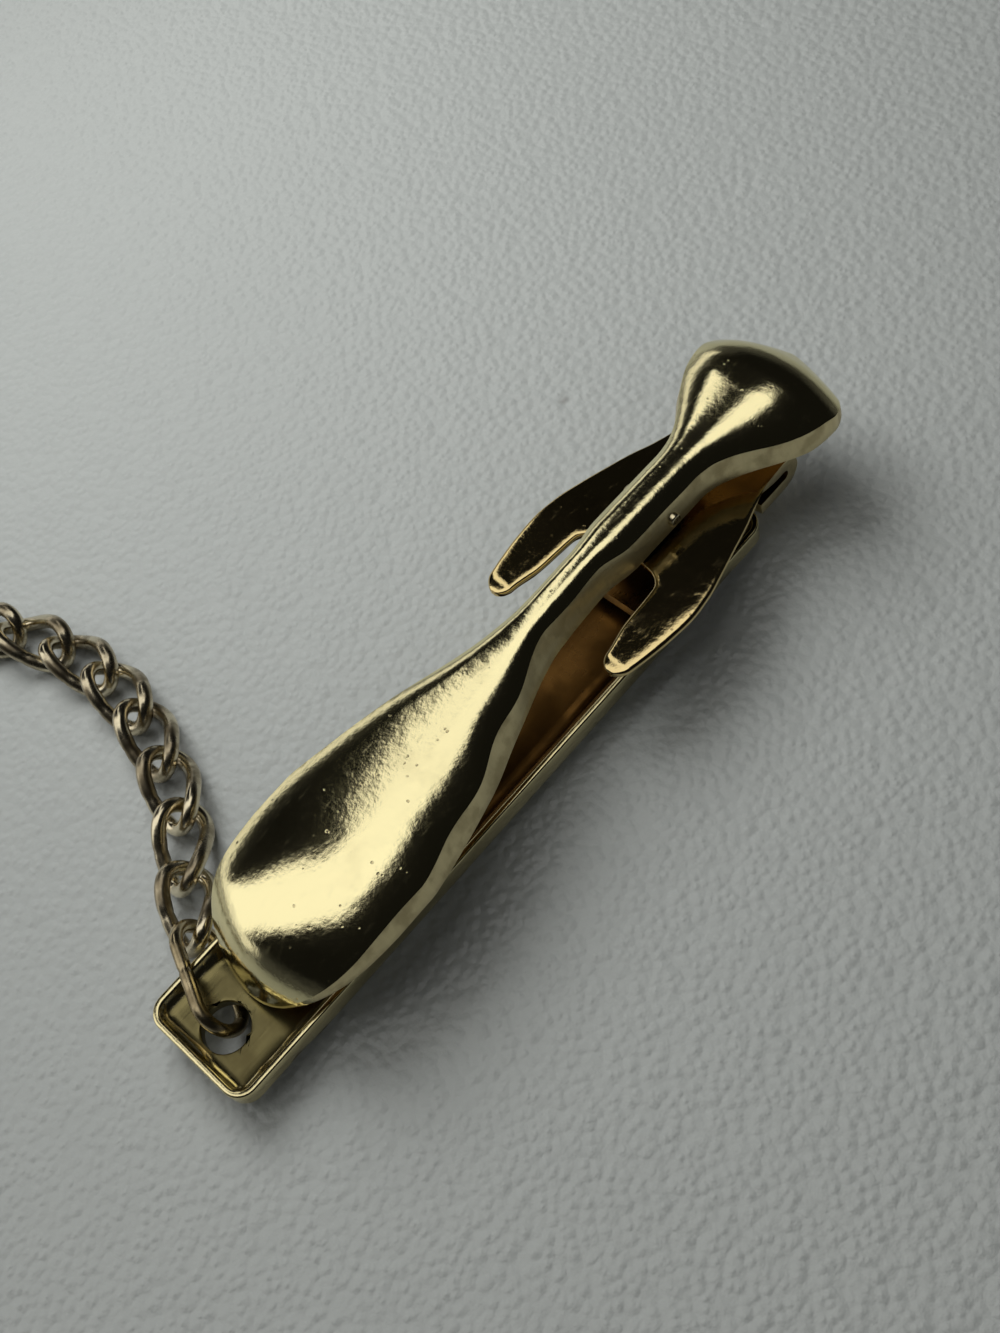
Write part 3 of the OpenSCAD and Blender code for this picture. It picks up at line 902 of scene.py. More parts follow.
    def build(self) -> None:
        """Presses the dish, pierces the hole, cuts the notch and dresses it."""
        around = 2 * (self.end_steps + self.long_steps + 2 * self.corner_steps)
        bar = ring_piece("front_bar_dish", around, len(self.section), self.form)
        bar.edit(Part.FACES, self._in_metal, lambda: bpy.ops.mesh.delete(type="FACE"))
        bar.weld(2e-6).face_out()
        bar.carve(Workpiece("hole_drill", bpy.ops.mesh.primitive_cylinder_add, vertices=48,
                            radius=self.hole_diameter / 2 * MM, depth=4 * MM,
                            location=(self.hole_x * MM, 0, 2 * MM)))
        bar.carve(block("foot_notch", (self.notch_length, self.foot_room, 2),
                        (self.length / 2 + self.notch_past, 0, self.notch_floor + 1)))
        bar.round_edges(self._on_hole_lip, self.hole_round, 4)
        bar.smooth(38).paint(self._finish_of)
        bar.hand_in("clip", "front_bar", "bar_gold", BAR_GOLD, DISH_GOLD, PALE_EDGE)

    def _in_metal(self, face: bmesh.types.BMFace) -> bool:
        """Whether a face stands in the metal, between the dish's floor and its underside.

        Args:
            face: a face of the dish, before it is welded.

        Returns:
            Whether it is one of those.
        """
        end = (self.reach_x - self.reach_y) * MM + 1e-6
        on_line = all(abs(v.co.y) < 1e-7 and abs(v.co.x) < end for v in face.verts)
        rings = {v.index % len(self.section) for v in face.verts}
        return on_line and rings == {self.seam - 1, self.seam}

    def _on_hole_lip(self, edge: bmesh.types.BMEdge) -> bool:
        """Whether an edge is the upper lip of the ring's hole.

        Args:
            edge: an edge of the pierced dish.

        Returns:
            Whether it is one of the lip's.
        """
        top, middle = (self.end_lift + self.sheet) * MM, self.hole_x * MM
        radius, near = self.hole_diameter / 2 * MM, 2e-5
        return all(abs(math.hypot(v.co.x - middle, v.co.y) - radius) < near
                   and abs(v.co.z - top) < near for v in edge.verts)

    def _finish_of(self, middle: Vector, normal: Vector) -> Coat:
        """Polished outside and on the rim, brushed inside, pale where the notch was cut.

        Args:
            middle: the face's middle in millimetres.
            normal: the face's normal.

        Returns:
            Its finish.
        """
        wall = self.swell + self.rim - self.rim_overlap
        inside = abs(middle.x) < self.reach_x - wall and abs(middle.y) < self.reach_y - wall
        by_notch = middle.z > self.end_lift and middle.x > self.length / 2 - self.notch_near
        if by_notch and abs(normal.y) > self.square_to:
            return Coat.CUT
        floor = middle.z > self.floor_from and (normal.z > 0.1 or middle.z > self.sheet)
        return Coat.INNER if inside and floor else Coat.OUTER


# ---- fork bracket


@dataclass
class ForkBracket:
    """One strip folded over the bar's far end: foot, turn, and a fork with two ears."""

    sheet: float = 0.8
    solder_gap: float = 0.02
    turn_x: float = 21.55
    turn_z: float = 2.85
    turn_radius: float = 1.1
    turn_half: float = 2.88
    foot_half: float = 2.5
    foot_end: float = 11.05
    past_bar: float = 19.63
    fork_top: float = 5.0
    fork_front: float = 6.9
    fork_half: float = 5.2
    slot_half: float = 2.5
    mouth_half: float = 3.4
    crown: float = 0.07
    slot_step: float = 12.65
    slot_end: float = 17.25
    ear_in: float = 0.47
    ear_out: float = 0.77
    ear_sheet: float = 0.3
    ear_length: float = 4.4
    ear_top: float = 6.36
    ear_narrow: float = 0.3
    ear_round: float = 0.5
    pivot_x: float = 14.95
    leaf_columns: int = 96
    turn_columns: int = 18
    foot_columns: int = 16
    tip_columns: int = 18
    rows: int = 24
    step_gap: float = 0.01
    foot_gap: float = 0.015
    edge_round: float = 0.17
    edge_fade: float = 3.0
    edge_crowd: float = 1.8
    crown_end: float = 15.5
    crown_fade: float = 4.0
    tip_reach: float = 1.2
    tip_crowd: float = 1.4
    tip_round: float = 0.75
    tip_curl: float = 0.16
    curl_length: float = 0.9

    def __post_init__(self) -> None:
        """Works out the fork's length and its tables."""
        self.length = self.turn_x - self.fork_front
        self.fall = [(0.0, 0.0), (0.17, 0.08), (0.34, 0.17), (0.46, 0.26), (0.58, 0.4),
                     (0.7, 0.58), (0.82, 0.8), (0.92, 0.96), (1.0, 1.0)]
        self.outer = [(0.0, 0.87), (0.05, 0.9), (0.12, 0.94), (0.22, 0.98), (0.32, 1.0),
                      (0.42, 0.97), (0.52, 0.9), (0.62, 0.82), (0.72, 0.74), (0.82, 0.64),
                      (0.9, 0.575), (1.0, self.turn_half / self.fork_half)]
        bend = self.length / 6
        self.inner = [(0.0, self.mouth_half - 0.3), (0.8, self.mouth_half - 0.36), (bend, 2.7),
                      (self.slot_step - self.fork_front - 0.8, self.slot_half),
                      (self.slot_step - self.fork_front - 0.25, 2.0),
                      (self.slot_step - self.fork_front, self.ear_out)]

    def stations(self) -> np.ndarray:
        """Distances along the strip: leaf from the tips, turn, then foot.

        Returns:
            One row per station: kind (0 leaf, 1 turn, 2 foot) and its x or angle.
        """
        near = np.linspace(0, 1, self.tip_columns + 1)[:-1] ** self.tip_crowd
        near = self.fork_front + self.tip_reach * near
        steps = [self.slot_step + self.step_gap, self.slot_end - self.step_gap,
                 self.slot_end + self.step_gap]
        rest = np.linspace(self.fork_front + self.tip_reach, self.turn_x,
                           self.leaf_columns - len(near) - len(steps))
        leaf = np.sort(np.concatenate([near, rest, steps]))
        turn = np.linspace(0, math.pi, self.turn_columns + 1)[1:]
        foot = np.linspace(self.turn_x, self.foot_end, self.foot_columns + 1)[1:]
        steps = [self.past_bar + self.foot_gap, self.past_bar - self.foot_gap]
        foot = np.sort(np.concatenate([foot, steps]))[::-1]
        kinds = np.concatenate([np.zeros(len(leaf)), np.ones(len(turn)), np.full(len(foot), 2.0)])
        return np.column_stack([kinds, np.concatenate([leaf, turn, foot])])

    def form(self, along: np.ndarray, across: np.ndarray) -> np.ndarray:
        """Places on the strip's outer face, on the +Y half.

        Args:
            along: shares of the way along the strip, from the prong's tip.
            across: shares of the way across it.

        Returns:
            The places in millimetres.
        """
        stations = self.stations()
        index = np.round(along * (len(stations) - 1)).astype(int)
        kind, at = stations[index].T
        leaf, turn = kind == 0, kind == 1
        share = np.clip((at - self.fork_front) / self.length, 0, 1)
        x = np.where(turn, self.turn_x + self.turn_radius * np.sin(at), at)
        rise = self.fork_top - self.turn_z - self.turn_radius
        z = self.turn_z + self.turn_radius * np.where(turn, np.cos(at), -1)
        z = np.where(leaf, self.fork_top - rise * smooth_curve(self.fall, share), z)
        foot = (kind == 2) & (at < self.past_bar)
        outer = np.where(leaf, self.fork_half * smooth_curve(self.outer, share),
                         np.where(foot, self.foot_half, self.turn_half))
        inner = smooth_curve(self.inner, np.clip(at - self.fork_front, 0, None))
        inner = np.where(leaf & (at < self.slot_step), inner, self.ear_out)
        inner = np.where(leaf & (at < self.slot_end), inner, 0.0)
        from_tip = at - self.fork_front
        tip = np.clip(from_tip / self.tip_round, 0, 1)
        round_tip = np.where(leaf, np.sqrt(1 - (1 - tip) ** 2), 1.0)
        middle, half = (outer + inner) / 2, (outer - inner) / 2
        over = 2 * across - 1
        over = np.sign(over) * (1 - (1 - np.abs(over)) ** np.where(leaf, self.edge_crowd, 1.0))
        half = half * np.maximum(round_tip, 0.1)
        y = middle + half * over
        to_edge = np.minimum(half * (1 - np.abs(over)), from_tip)
        rolled = np.clip(1 - to_edge / self.edge_round, 0, 1)
        rolled = rolled * (leaf & ((over > 0) | (at < self.slot_step)))
        rolled = rolled * np.clip((self.turn_x - at) / self.edge_fade, 0, 1)
        crown = self.crown * np.where(leaf, np.abs(over) ** 5, 0.0)
        crown = crown * np.clip((self.crown_end - at) / self.crown_fade, 0, 1)
        curl = np.where(leaf, np.clip(1 - from_tip / self.curl_length, 0, 1) ** 2, 0.0)
        z = z - crown - self.tip_curl * curl - self.edge_round * (1 - np.sqrt(1 - rolled**2))
        return np.column_stack([x, y, z])

    def build(self) -> None:
        """Folds the strip, mirrors its half, thickens it, adds the ears and dresses it."""
        columns = len(self.stations()) - 1
        finishes = (FORK_GOLD, AMBER_GOLD, PALE_EDGE)
        strip = grid_piece("fork_bracket_strip", columns, self.rows, self.form).dress(*finishes)
        strip.modify("MIRROR", use_axis=(False, True, False), merge_threshold=1e-6)
        strip.weld(5e-7).face_out()
        top = max(strip.item.data.polygons, key=lambda face: face.center.z)
        if top.normal.z < 0:
            strip.edit(Part.FACES, every, bpy.ops.mesh.flip_normals)
        strip.thicken(self.sheet - self.solder_gap, 0.05, 60)
        for side in (-1, 1):
            strip.join(self._ear(side, finishes))
        strip.smooth(40)
        strip.hand_in("clip", "fork_bracket", "bracket_gold")

    def _ear(self, side: int, finishes: tuple[Finish, ...]) -> Workpiece:
        """One ear: a small upright plate with a rounded top.

        Args:
            side: 1 for +Y and -1 for -Y.
            finishes: the strip's finishes.

        Returns:
            The ear.
        """
        low = self.fork_top - self.sheet
        tall = self.ear_top - low
        middle = (self.ear_in + self.ear_out) / 2 * side
        ear = block("ear_plate", (self.ear_length, self.ear_sheet, tall),
                    (self.pivot_x, middle, low + tall / 2))
        top = (self.ear_top - 0.01) * MM
        ear.edit(Part.FACES, lambda face: face.normal.z > 0.9,
                 lambda: bpy.ops.transform.resize(value=(self.ear_narrow, 1, 1)))
        ear.round_edges(lambda edge: all(v.co.z > top for v in edge.verts)
                        and abs(edge.verts[0].co.x - edge.verts[1].co.x) < 1e-6,
                        self.ear_round, 6)
        return ear.dress(*finishes).paint(
            lambda at, normal: Coat.INNER if abs(normal.y) > 0.5 else Coat.CUT)


# ---- lever


@dataclass
class Lever:
    """The pressed lever: a spoon, a waist, a neck and a thumb head over one cut edge."""

    nose_x: float = -15.35
    length: float = 41.62
    sheet: float = 0.5
    fullness: float = 2.25
    rise: tuple[tuple[float, float], ...] = ((0.0, 0.34), (0.03, 0.28), (0.08, 0.235), (0.34, 0.25),
                                             (0.44, 0.33), (0.52, 0.42), (0.76, 0.42), (0.84, 0.34),
                                             (0.92, 0.32), (1.0, 0.36))
    flare: tuple[tuple[float, float], ...] = ((0.0, 0.03), (0.05, 0.1), (0.14, 0.3),
                                              (0.36, 0.42), (0.48, 0.36), (0.75, 0.28),
                                              (0.86, 0.36), (0.95, 0.12), (1.0, 0.02))
    columns: int = 210
    rows: int = 54
    band_rows: int = 3

    # Share of the length, half width, edge height and crown height, in millimetres.
    stations: tuple[tuple[float, float, float, float], ...] = (
        (0, 0.921, 2.05, 2.45), (0.005, 1.45, 2.5, 3.1), (0.014, 2.15, 3.0, 3.9),
        (0.023, 2.72, 3.4, 4.5), (0.034, 3.27, 3.78, 5.03), (0.048, 3.76, 4.1, 5.52),
        (0.064, 4.16, 4.36, 5.92), (0.082, 4.46, 4.5, 6.23), (0.103, 4.66, 4.59, 6.47),
        (0.127, 4.77, 4.64, 6.66), (0.152, 4.83, 4.68, 6.79), (0.178, 4.845, 4.72, 6.86),
        (0.205, 4.85, 4.75, 6.9), (0.232, 4.686, 4.75, 6.92), (0.26, 4.448, 4.75, 6.93),
        (0.29, 4.193, 4.75, 6.94), (0.32, 3.883, 4.809, 6.95), (0.35, 3.536, 4.867, 6.96),
        (0.38, 3.116, 4.926, 6.98), (0.41, 2.66, 4.984, 7.01), (0.44, 2.2, 5.043, 7.06),
        (0.465, 1.857, 5.091, 7.13), (0.49, 1.583, 5.14, 7.22), (0.52, 1.31, 5.205, 7.33),
        (0.56, 1.2, 5.292, 7.42), (0.61, 1.2, 5.4, 7.45), (0.66, 1.494, 5.4, 7.44),
        (0.7, 1.5, 5.4, 7.4), (0.74, 1.505, 5.4, 7.35), (0.775, 1.51, 5.4, 7.31),
        (0.8, 1.665, 5.328, 7.29), (0.824, 2.083, 5.259, 7.29), (0.848, 2.7, 5.25, 7.32),
        (0.87, 3.339, 5.24, 7.37), (0.89, 3.804, 5.15, 7.43), (0.91, 4.114, 5.05, 7.48),
        (0.93, 4.257, 5.05, 7.47), (0.948, 4.3, 5.05, 7.35), (0.964, 4.085, 5.05, 7.1),
        (0.978, 3.612, 5.05, 6.7), (0.988, 2.924, 5.05, 6.3), (1, 1.032, 5.05, 5.75),
    )
    nose_close: float = 0.014
    head_close: float = 0.978
    end_crowd: float = 0.86
    wave_middle: float = 0.42
    wave_spread: float = 0.2
    wave_height: float = 0.07
    wave_turns: float = 1.5
    wave_swell: float = 0.4
    swell_turns: float = 1.3
    swell_start: float = 0.6
    flare_most: float = 0.3
    dome_most: float = 0.8
    edge_slope: float = 0.73
    edge_round: float = 0.045
    edge_sharp: float = 28.0

    def half_width(self, share: np.ndarray) -> np.ndarray:
        """Half width along the lever, closed at both ends by a round.

        Args:
            share: shares of the length from the nose.

        Returns:
            The half widths in millimetres.
        """
        table = np.array(self.stations)[:, :2]
        at_nose, at_head = np.interp((self.nose_close, self.head_close), *table.T)
        nose = at_nose * np.sqrt(np.clip(share / self.nose_close, 0, 1))
        head = at_head * np.sqrt(np.clip((1 - share) / (1 - self.head_close), 0, 1))
        width = np.where(share < self.nose_close, nose, smooth_curve(table, share))
        return np.where(share > self.head_close, head, width)

    def form(self, along: np.ndarray, across: np.ndarray) -> np.ndarray:
        """Places on the lever's outer face.

        Args:
            along: shares of the way from the nose, crowded at both ends.
            across: shares of the way over the lever, from edge to edge.

        Returns:
            The places in millimetres.
        """
        share = along - self.end_crowd * np.sin(math.tau * along) / math.tau
        half = self.half_width(share)
        rows = np.array(self.stations)
        low, high = (smooth_curve(rows[:, [0, column]], share) for column in (2, 3))
        x = self.nose_x + self.length * share
        wave = hump(share, self.wave_middle, self.wave_spread)
        low = low + self.wave_height * wave * np.sin(x * self.wave_turns) * (half > 1)
        flare = np.minimum(smooth_curve(self.flare, share), self.flare_most * half)
        swell = self.wave_swell * wave * np.sin(x * self.swell_turns + self.swell_start)
        flare = flare * (1 + swell * (across < 0.5))
        crown = half - flare
        dome = np.minimum(smooth_curve(self.rise, share) * crown, self.dome_most * (high - low))
        edge_share = self.band_rows / self.rows
        side = np.sign(across - 0.5)
        from_edge = np.minimum(across, 1 - across)
        on_band = from_edge <= edge_share + 1e-6
        t = np.clip((from_edge - edge_share) / (0.5 - edge_share), 0, 1)
        away = np.where(t > 0.9999, 0.0, np.cos(math.pi / 2 * t))
        up = np.clip(from_edge / edge_share, 0, 1)
        y = np.where(on_band, half - flare * up, crown * away) * side
        z = np.where(on_band, low + (high - low - dome) * up, high - dome * away**self.fullness)
        return np.column_stack([x, y, z])

    def build(self) -> None:
        """Presses the lever, welds its ends, thickens it and dresses it."""
        lever = grid_piece("lever_pressing", self.columns, self.rows, self.form)
        lever.dress(SPOON_GOLD, AMBER_GOLD, PALE_EDGE)
        lever.paint(lambda at, normal: Coat.CUT if abs(normal.y) > self.edge_slope else Coat.OUTER)
        lever.weld(3e-7).thicken(self.sheet, self.edge_round, self.edge_sharp).smooth(50)
        lever.hand_in("lever", "lever", "lever_gold")


# ---- pivot


@dataclass
class Pivot:
    """The pin with its peened heads; the spring round it is the CAD node with a finish."""

    x: float = 14.95
    z: float = 5.95
    diameter: float = 0.7
    half_length: float = 1.624
    head_round: float = 0.1

    def build(self, nodes: dict[str, bpy.types.Object]) -> None:
        """Turns the pin and dresses it and the spring.

        Args:
            nodes: the CAD nodes by name.
        """
        pin = Workpiece("pivot_pin_peened", bpy.ops.mesh.primitive_cylinder_add, vertices=40,
                        radius=self.diameter / 2 * MM, depth=2 * self.half_length * MM,
                        location=(self.x * MM, 0, self.z * MM), rotation=(math.pi / 2, 0, 0))
        pin.settle().round_edges(
            lambda edge: abs(edge.verts[0].co.y - edge.verts[1].co.y) < 1e-7, self.head_round, 4)
        pin.smooth(40).hand_in("clip", "pivot_pin", "pin_gold", PIN_STEEL)
        spring = nodes["lever_spring"]
        spring.data.materials.clear()
        spring.data.materials.append(SPRING_STEEL.material())
        log.info("lever_spring keeps its CAD form")


# ---- ring and chain


def turned(degrees: float, axis: str) -> Matrix:
    """A turn about an axis."""
    return Matrix.Rotation(math.radians(degrees), 4, axis)


def shifted(x: float, y: float, z: float) -> Matrix:
    """A shift in millimetres."""
    return Matrix.Translation((x, y, z))


def butted(wire: float, joint: float, gap: float) -> Shape:
    """A wire's radius in millimetres, a little less where its two ends meet."""
    return lambda around, section: wire / 2 * (0.99 - 0.14 * hump(around, joint, gap))


class Hang(Enum):
    """How a link hangs: the first and the last are tilted up to their rings."""

    FLAT = 0
    FIRST = 1
    LAST = 2


@dataclass
class Chain:
    """The connector ring, twenty twisted links, the last ring and the toggle."""

    hole_x: float = -17.2
    ring_wire: float = 0.7
    ring_round: float = 1.4
    ring_z: float = 1.606
    ring_start: float = -0.175
    ring_end: float = 5.659
    ring_heading: float = 66.0
    ring_lean: float = 28.0
    link_wire: float = 0.8
    link_a: float = 2.3
    link_b: float = 1.2
    link_twist: float = 0.68
    pitch: float = 3.45
    link_z: float = 1.1
    start_at: float = 5.084
    last_wire: float = 0.7
    last_round: float = 1.65
    last_from: float = -0.575
    toggle_length: float = 14.0
    toggle_diameter: float = 1.7
    collar_at: float = 2.1
    waist_at: float = 1.75
    eye_wire: float = 0.7
    eye_out: float = 1.1
    floor_clear: float = 0.02
    wire_sides: int = 20
    link_steps: int = 80
    round_steps: int = 96
    oval_steps: int = 120
    headings: tuple[float, ...] = (60, 50, 66, 72, 84, 97, 109, 121, 132, 143,
                                   154, 165, 176, 186, 195, 203, 210, 216, 221, 225)

    def __post_init__(self) -> None:
        """Works out the last ring's height and the joints between the links."""
        lean = math.cos(math.radians(self.ring_lean))
        self.last_z = self.floor_clear + self.last_wire / 2 + self.last_round * lean
        first = math.radians(self.ring_heading)
        start = self.start_at * Vector((math.cos(first), math.sin(first)))
        self.joints = [Vector((self.hole_x, 0)) + start]
        for heading in self.headings:
            turn = math.radians(heading)
            step = self.pitch * Vector((math.cos(turn), math.sin(turn)))
            self.joints.append(self.joints[-1] + step)

    def link_place(self, number: int) -> Matrix:
        """Where one link lies.

        Args:
            number: the link's number, from 1.

        Returns:
            The matrix that takes the link from the origin to its place, in millimetres.
        """
        hang = {1: Hang.FIRST, len(self.headings): Hang.LAST}.get(number, Hang.FLAT)
        reach = self.link_a + self.pitch / 2
        tilt = {
            Hang.FLAT: 0.0,
            Hang.FIRST: math.asin((self.ring_z - self.link_z) / reach),
            Hang.LAST: -math.asin((self.last_z - self.link_z) / reach),
        }[hang]
        at = self.joints[number - 1 if hang is Hang.LAST else number]
        shift = self.pitch / 2 * (1 if hang is Hang.LAST else -1)
        return (shifted(at.x, at.y, self.link_z) @ turned(self.headings[number - 1], "Z")
                @ turned(math.degrees(tilt), "Y") @ shifted(shift, 0, 0))

    def _link(self) -> Workpiece:
        """Bends the one curb link that is copied: twisted wire, worn a little flat at its joint.

        Returns:
            The link, at the origin.
        """

        def path(around: np.ndarray) -> np.ndarray:
            """Places on the link's middle line.

            Args:
                around: shares of the way around the link.

            Returns:
                The places in millimetres.
            """
            turn = around * math.tau
            return np.column_stack([self.link_a * np.cos(turn), self.link_b * np.sin(turn),
                                    self.link_twist * np.sin(2 * turn)])

        def radius(around: np.ndarray, section: np.ndarray) -> np.ndarray:
            """The wire's radius, with its joint and its wear.

            Args:
                around: shares of the way around the link.
                section: shares of the way round the wire.

            Returns:
                The radii in millimetres.
            """
            joint = 0.1 * hump(around, 0.25, 0.012)
            wear = 0.015 * np.cos(2 * math.tau * section) + 0.0072 * np.sin(3 * math.tau * around)
            return self.link_wire / 2 * (0.985 - joint + wear)

        form = wire_form(path, radius)
        return ring_piece("link_pattern", self.link_steps, self.wire_sides, form).smooth(60)

    def _oval_ring(self) -> Workpiece:
        """Bends the connector ring, its two ends butted on the upper side.

        Returns:
            The ring, in the bar's hole.
        """
        bend = self.ring_round
        straight = self.ring_end - self.ring_start - 2 * bend
        half = straight + math.pi * bend

        def path(around: np.ndarray) -> np.ndarray:
            """Places on the oval: a straight and a half turn, and both again the other way.

            Args:
                around: shares of the way around the oval.

            Returns:
                The places in millimetres.
            """
            far = (around % 1.0) * 2 * half
            side = np.where(far < half, 1, -1)
            far = far % half
            run = np.minimum(far, straight) - straight / 2
            turn = np.maximum(far - straight, 0) / bend - math.pi / 2
            return np.column_stack([side * (run + bend * np.cos(turn)), side * bend * np.sin(turn),
                                    np.zeros_like(far)])

        form = wire_form(path, butted(self.ring_wire, 0.58, 0.008))
        ring = ring_piece("connector_ring_wire", self.oval_steps, self.wire_sides, form).smooth(60)
        middle = (self.ring_start + self.ring_end) / 2
        return ring.put(shifted(self.hole_x, 0, self.ring_z) @ turned(self.ring_heading, "Z")
                        @ turned(-self.ring_lean, "X") @ shifted(middle, 0, 0) @ turned(90, "X"))

    def _end_place(self, forward: float, height: float) -> Matrix:
        """A place beyond the last joint, along the last link's heading."""
        at = self.joints[-1]
        return shifted(at.x, at.y, 0) @ turned(self.headings[-1], "Z") @ shifted(forward, 0, height)

    def _round_ring(self, name: str, middle_radius: float, wire: float) -> Workpiece:
        """Bends a round ring with its butted joint.

        Args:
            name: the ring's name.
            middle_radius: its radius to the middle of the wire.
            wire: the wire's diameter.

        Returns:
            The ring, at the origin.
        """

        def path(around: np.ndarray) -> np.ndarray:
            """Places on the circle."""
            turn = around * math.tau
            return middle_radius * np.column_stack([np.cos(turn), np.sin(turn), 0 * turn])

        form = wire_form(path, butted(wire, 0.55, 0.01))
        return ring_piece(name, self.round_steps, self.wire_sides, form)

    def _toggle(self) -> Workpiece:
        """Turns the toggle: a bar with ball ends and collars, and the eye brazed to it.

        Returns:
            The toggle, at the chain's free end.
        """
        half, thick = self.toggle_length / 2, self.toggle_diameter / 2
        bar = Workpiece("toggle_bar_turned", bpy.ops.mesh.primitive_uv_sphere_add,
                        segments=40, ring_count=90, radius=1)

        def profile(at: np.ndarray) -> np.ndarray:
            """Places on the bar.

            Args:
                at: the vertices' places on the sphere.

            Returns:
                Their places on the bar, in metres.
            """
            run = half * np.arcsin(np.clip(at[:, 2], -1, 1)) / (math.pi / 2)
            from_end = half - np.abs(run)
            ball = np.sqrt(np.clip(1 - (1 - np.clip(from_end / thick, 0, 1)) ** 2, 0, 1))
            collar = 0.08 * hump(from_end, self.collar_at, 0.12)
            waist = 0.07 * hump(from_end, self.waist_at, 0.22)
            taper = 0.03 * np.clip(from_end / half, 0, 1)
            radial = thick * ball * (1 - waist - collar - taper)
            turn = np.arctan2(at[:, 1], at[:, 0])
            pole = np.hypot(at[:, 0], at[:, 1]) < 1e-6
            radial = np.where(pole, 0.0, radial)
            return np.column_stack([radial * np.cos(turn), run, radial * np.sin(turn)]) * MM

        bar.shape(profile).face_out()
        eye_middle = self.last_from + 2 * self.last_round
        middle = eye_middle + self.eye_out + self.eye_wire / 3
        bar.put(self._end_place(middle, thick + self.floor_clear))
        eye = self._round_ring("toggle_eye", self.eye_out, self.eye_wire)
        eye.put(self._end_place(eye_middle, self.last_z) @ turned(self.ring_lean, "X"))
        return bar.join(eye).smooth(50)

    def build(self) -> None:
        """Bends the rings, copies the link along the chain, turns the toggle, and dresses all."""
        self._oval_ring().hand_in("connector_ring", "connector_ring", "ring_brass", RING_BRASS)
        pattern = self._link()
        for number in range(1, len(self.headings) + 1):
            name = f"link_{number:02d}"
            link = pattern.copy(f"{name}_wire").put(self.link_place(number))
            link.hand_in(name, name, "chain_brass", CHAIN_BRASS)
        bpy.data.objects.remove(pattern.item)
        ring = self._round_ring("end_ring_wire", self.last_round, self.last_wire).smooth(60)
        ring.put(self._end_place(self.last_from + self.last_round, self.last_z)
                 @ turned(90 + self.ring_lean, "X"))
        ring.hand_in("end_ring", "end_ring", "ring_brass", RING_BRASS)
        self._toggle().hand_in("toggle_bar", "toggle_bar", "chain_brass", CHAIN_BRASS)


# ---- table, light and camera


@dataclass(frozen=True)
class Window:
    """A lit upright strip of the room, as the metal mirrors it."""

    azimuth: float
    half_width: float
    low: float
    high: float
    level: float
    soft: float = 0.04
    side_soft: float = 0.06

    def mask(self, graph: Graph, way: Value, height: Value) -> Value:
        """How much of a direction is covered by the window.

        Args:
            graph: the world's graph.
            way: the direction that is looked in.
            height: that direction's Z.

        Returns:
            The share that is covered.
        """
        turn = math.radians(self.azimuth)
        ahead = graph.along(way, (math.cos(turn), math.sin(turn), 0))
        beside = graph.along(way, (-math.sin(turn), math.cos(turn), 0))
        narrow, wide = (max(self.half_width + part * self.soft, 0) ** 2 for part in (-1, 1))
        inside = 1.0 - (beside * beside).step(narrow, wide)
        inside = inside * ahead.step(-self.side_soft, self.side_soft)
        above = height.step(self.low - self.soft, self.low + self.soft)
        return inside * above * (1.0 - height.step(self.high - self.soft, self.high + self.soft))


@dataclass(frozen=True)
class Skylight:
    """A round lit patch overhead."""

    way: Triple
    outer: float
    inner: float
    level: float

    def mask(self, graph: Graph, way: Value, height: Value) -> Value:
        """How much of a direction is covered by the skylight; its height plays no part."""
        toward = graph.along(way, Vector(self.way).normalized())
        return toward.step(math.cos(math.radians(self.outer)), math.cos(math.radians(self.inner)))


WARM_WHITE = (1.0, 0.985, 0.94)
LAMP_WHITE = (1.0, 0.995, 0.98)
ROOM_CEILING = (0.006, 0.006, 0.0057)
ROOM_WALL = (0.055, 0.056, 0.055)
LIGHTS = (
    Skylight((-0.02, 0.12, 0.99), 19.5, 13.0, 1.2),
    Skylight((0.27, 0.13, 0.95), 14.5, 8.5, 1.1),
    Window(133.0, 0.24, 0.1, 1.2, 1.15, 0.05),
    Window(70.0, 0.075, 0.45, 0.95, 1.1, 0.025),
    Window(105.0, 0.75, 0.03, 0.17, 0.85),
)


@dataclass(frozen=True)
class Lamp:
    """A soft square lamp that looks at the clip; the metal mirrors the room's windows instead."""

    name: str
    place: Triple
    size: float
    power: float

    def build(self) -> None:
        """Hangs the lamp."""
        light = bpy.data.lights.new(self.name, "AREA")
        light.shape = "SQUARE"
        light.size = self.size
        light.energy = self.power
        light.color = LAMP_WHITE
        holder = bpy.data.objects.new(self.name, light)
        bpy.context.scene.collection.objects.link(holder)
        holder.location = self.place
        holder.rotation_euler = (-Vector(self.place)).to_track_quat("-Z", "Y").to_euler()
        holder.visible_glossy = False


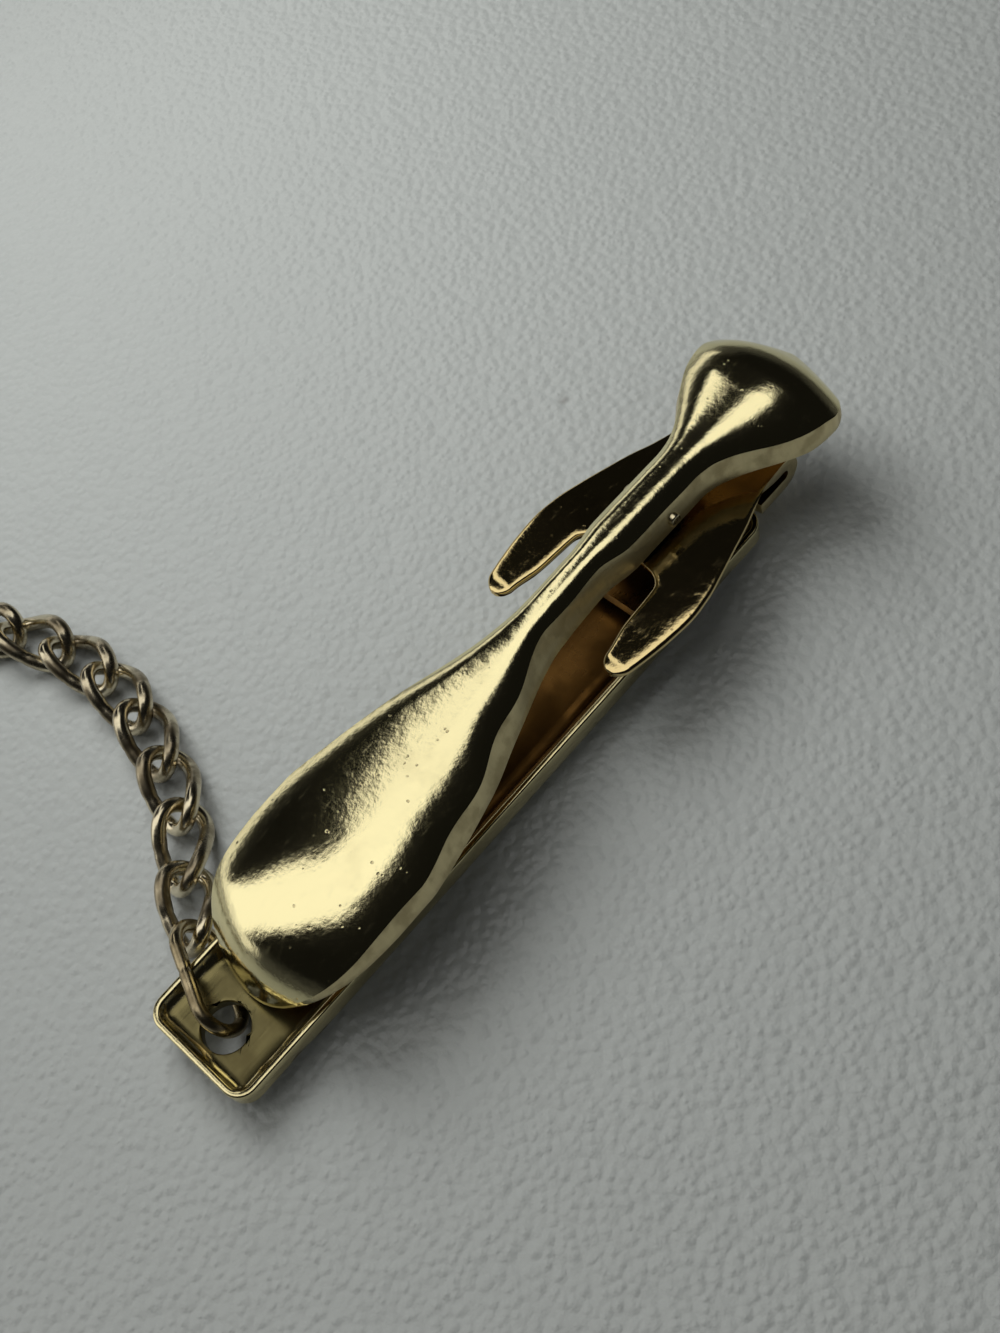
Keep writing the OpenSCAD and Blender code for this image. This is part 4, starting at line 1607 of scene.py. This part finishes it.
@dataclass
class Studio:
    """The pale table, the soft lamp from the chain's side, and what the metal mirrors."""

    table_half: float = 1.5
    table_drop: float = 0.00002
    main_lamp: Lamp = Lamp("soft_lamp", (0.02, 0.068, 0.082), 0.07, 0.098)
    fill_lamp: Lamp = Lamp("fill_lamp", (-0.01, -0.12, 0.15), 0.12, 0.028)
    wall_full: float = 0.02
    wall_gone: float = 0.4

    def build(self) -> None:
        """Lays the table and sets the lamps and the surroundings."""
        table = Workpiece("table_top", bpy.ops.mesh.primitive_plane_add, size=2 * self.table_half,
                          location=(0, 0, -self.table_drop)).settle()
        table.item.data.materials.append(TABLE_GRAIN.material())
        self.main_lamp.build()
        self.fill_lamp.build()
        self._surroundings()

    def _surroundings(self) -> None:
        """Sets up the room that the metal mirrors: lit panels, a pale wall, a dark ceiling."""
        world = bpy.data.worlds.new("studio_room")
        world.use_nodes = True
        bpy.context.scene.world = world
        graph = Graph(world.node_tree)
        way = graph.add("ShaderNodeTexCoord", output="Generated")
        height = graph.add("ShaderNodeSeparateXYZ", None, {0: way}, 2)
        low = 1.0 - height.step(self.wall_full, self.wall_gone)
        mirrored = graph.blend(low, ROOM_CEILING, ROOM_WALL)
        for light in LIGHTS:
            glow = tuple(light.level * part for part in WARM_WHITE)
            mirrored = graph.blend(light.mask(graph, way, height), mirrored, glow)
        background = graph.add("ShaderNodeBackground", None, {"Color": mirrored, "Strength": 1.0})
        graph.add("ShaderNodeOutputWorld", None, {"Surface": background})


@dataclass(frozen=True)
class Viewpoint:
    """Where the photograph was taken from, in millimetres and degrees in the clip's frame."""

    eye: Triple = (-14.04, -34.45, 71.81)
    elevation: float = 59.47
    roll: float = 23.35
    yaw: float = 27.21
    focal_pixels: float = 1600.0
    sensor: float = 36.0

    def build(self) -> None:
        """Sets up the camera and makes it the scene's."""
        rise, roll = math.radians(self.elevation), math.radians(self.roll)
        right = Vector((1, 0, 0))
        up = Vector((0, math.sin(rise), math.cos(rise)))
        back = Vector((0, -math.cos(rise), math.sin(rise)))
        across = right * math.cos(roll) - up * math.sin(roll)
        upward = right * math.sin(roll) + up * math.cos(roll)
        turn = Matrix.Rotation(-math.radians(self.yaw), 3, "Z")
        axes = Matrix([turn @ across, turn @ upward, turn @ back]).transposed().to_4x4()
        camera = bpy.data.cameras.new("photograph_camera")
        camera.sensor_width = self.sensor
        camera.lens = self.focal_pixels / PHOTO_HEIGHT * self.sensor
        camera.clip_start = 0.002
        camera.clip_end = 10.0
        holder = bpy.data.objects.new("photograph_camera", camera)
        bpy.context.scene.collection.objects.link(holder)
        holder.matrix_world = Matrix.Translation(Vector(self.eye) * MM) @ axes
        bpy.context.scene.camera = holder


def main() -> None:
    """Builds the clip's pieces in order, then the table, the light and the camera."""
    logging.basicConfig(level=logging.INFO, format="%(message)s")
    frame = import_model()
    bpy.context.scene.view_settings.view_transform = "Standard"
    Viewpoint().build()
    Studio().build()
    FrontBar().build()
    ForkBracket().build()
    Pivot().build(frame["nodes"])
    Lever().build()
    Chain().build()


if __name__ == "__main__":
    main()
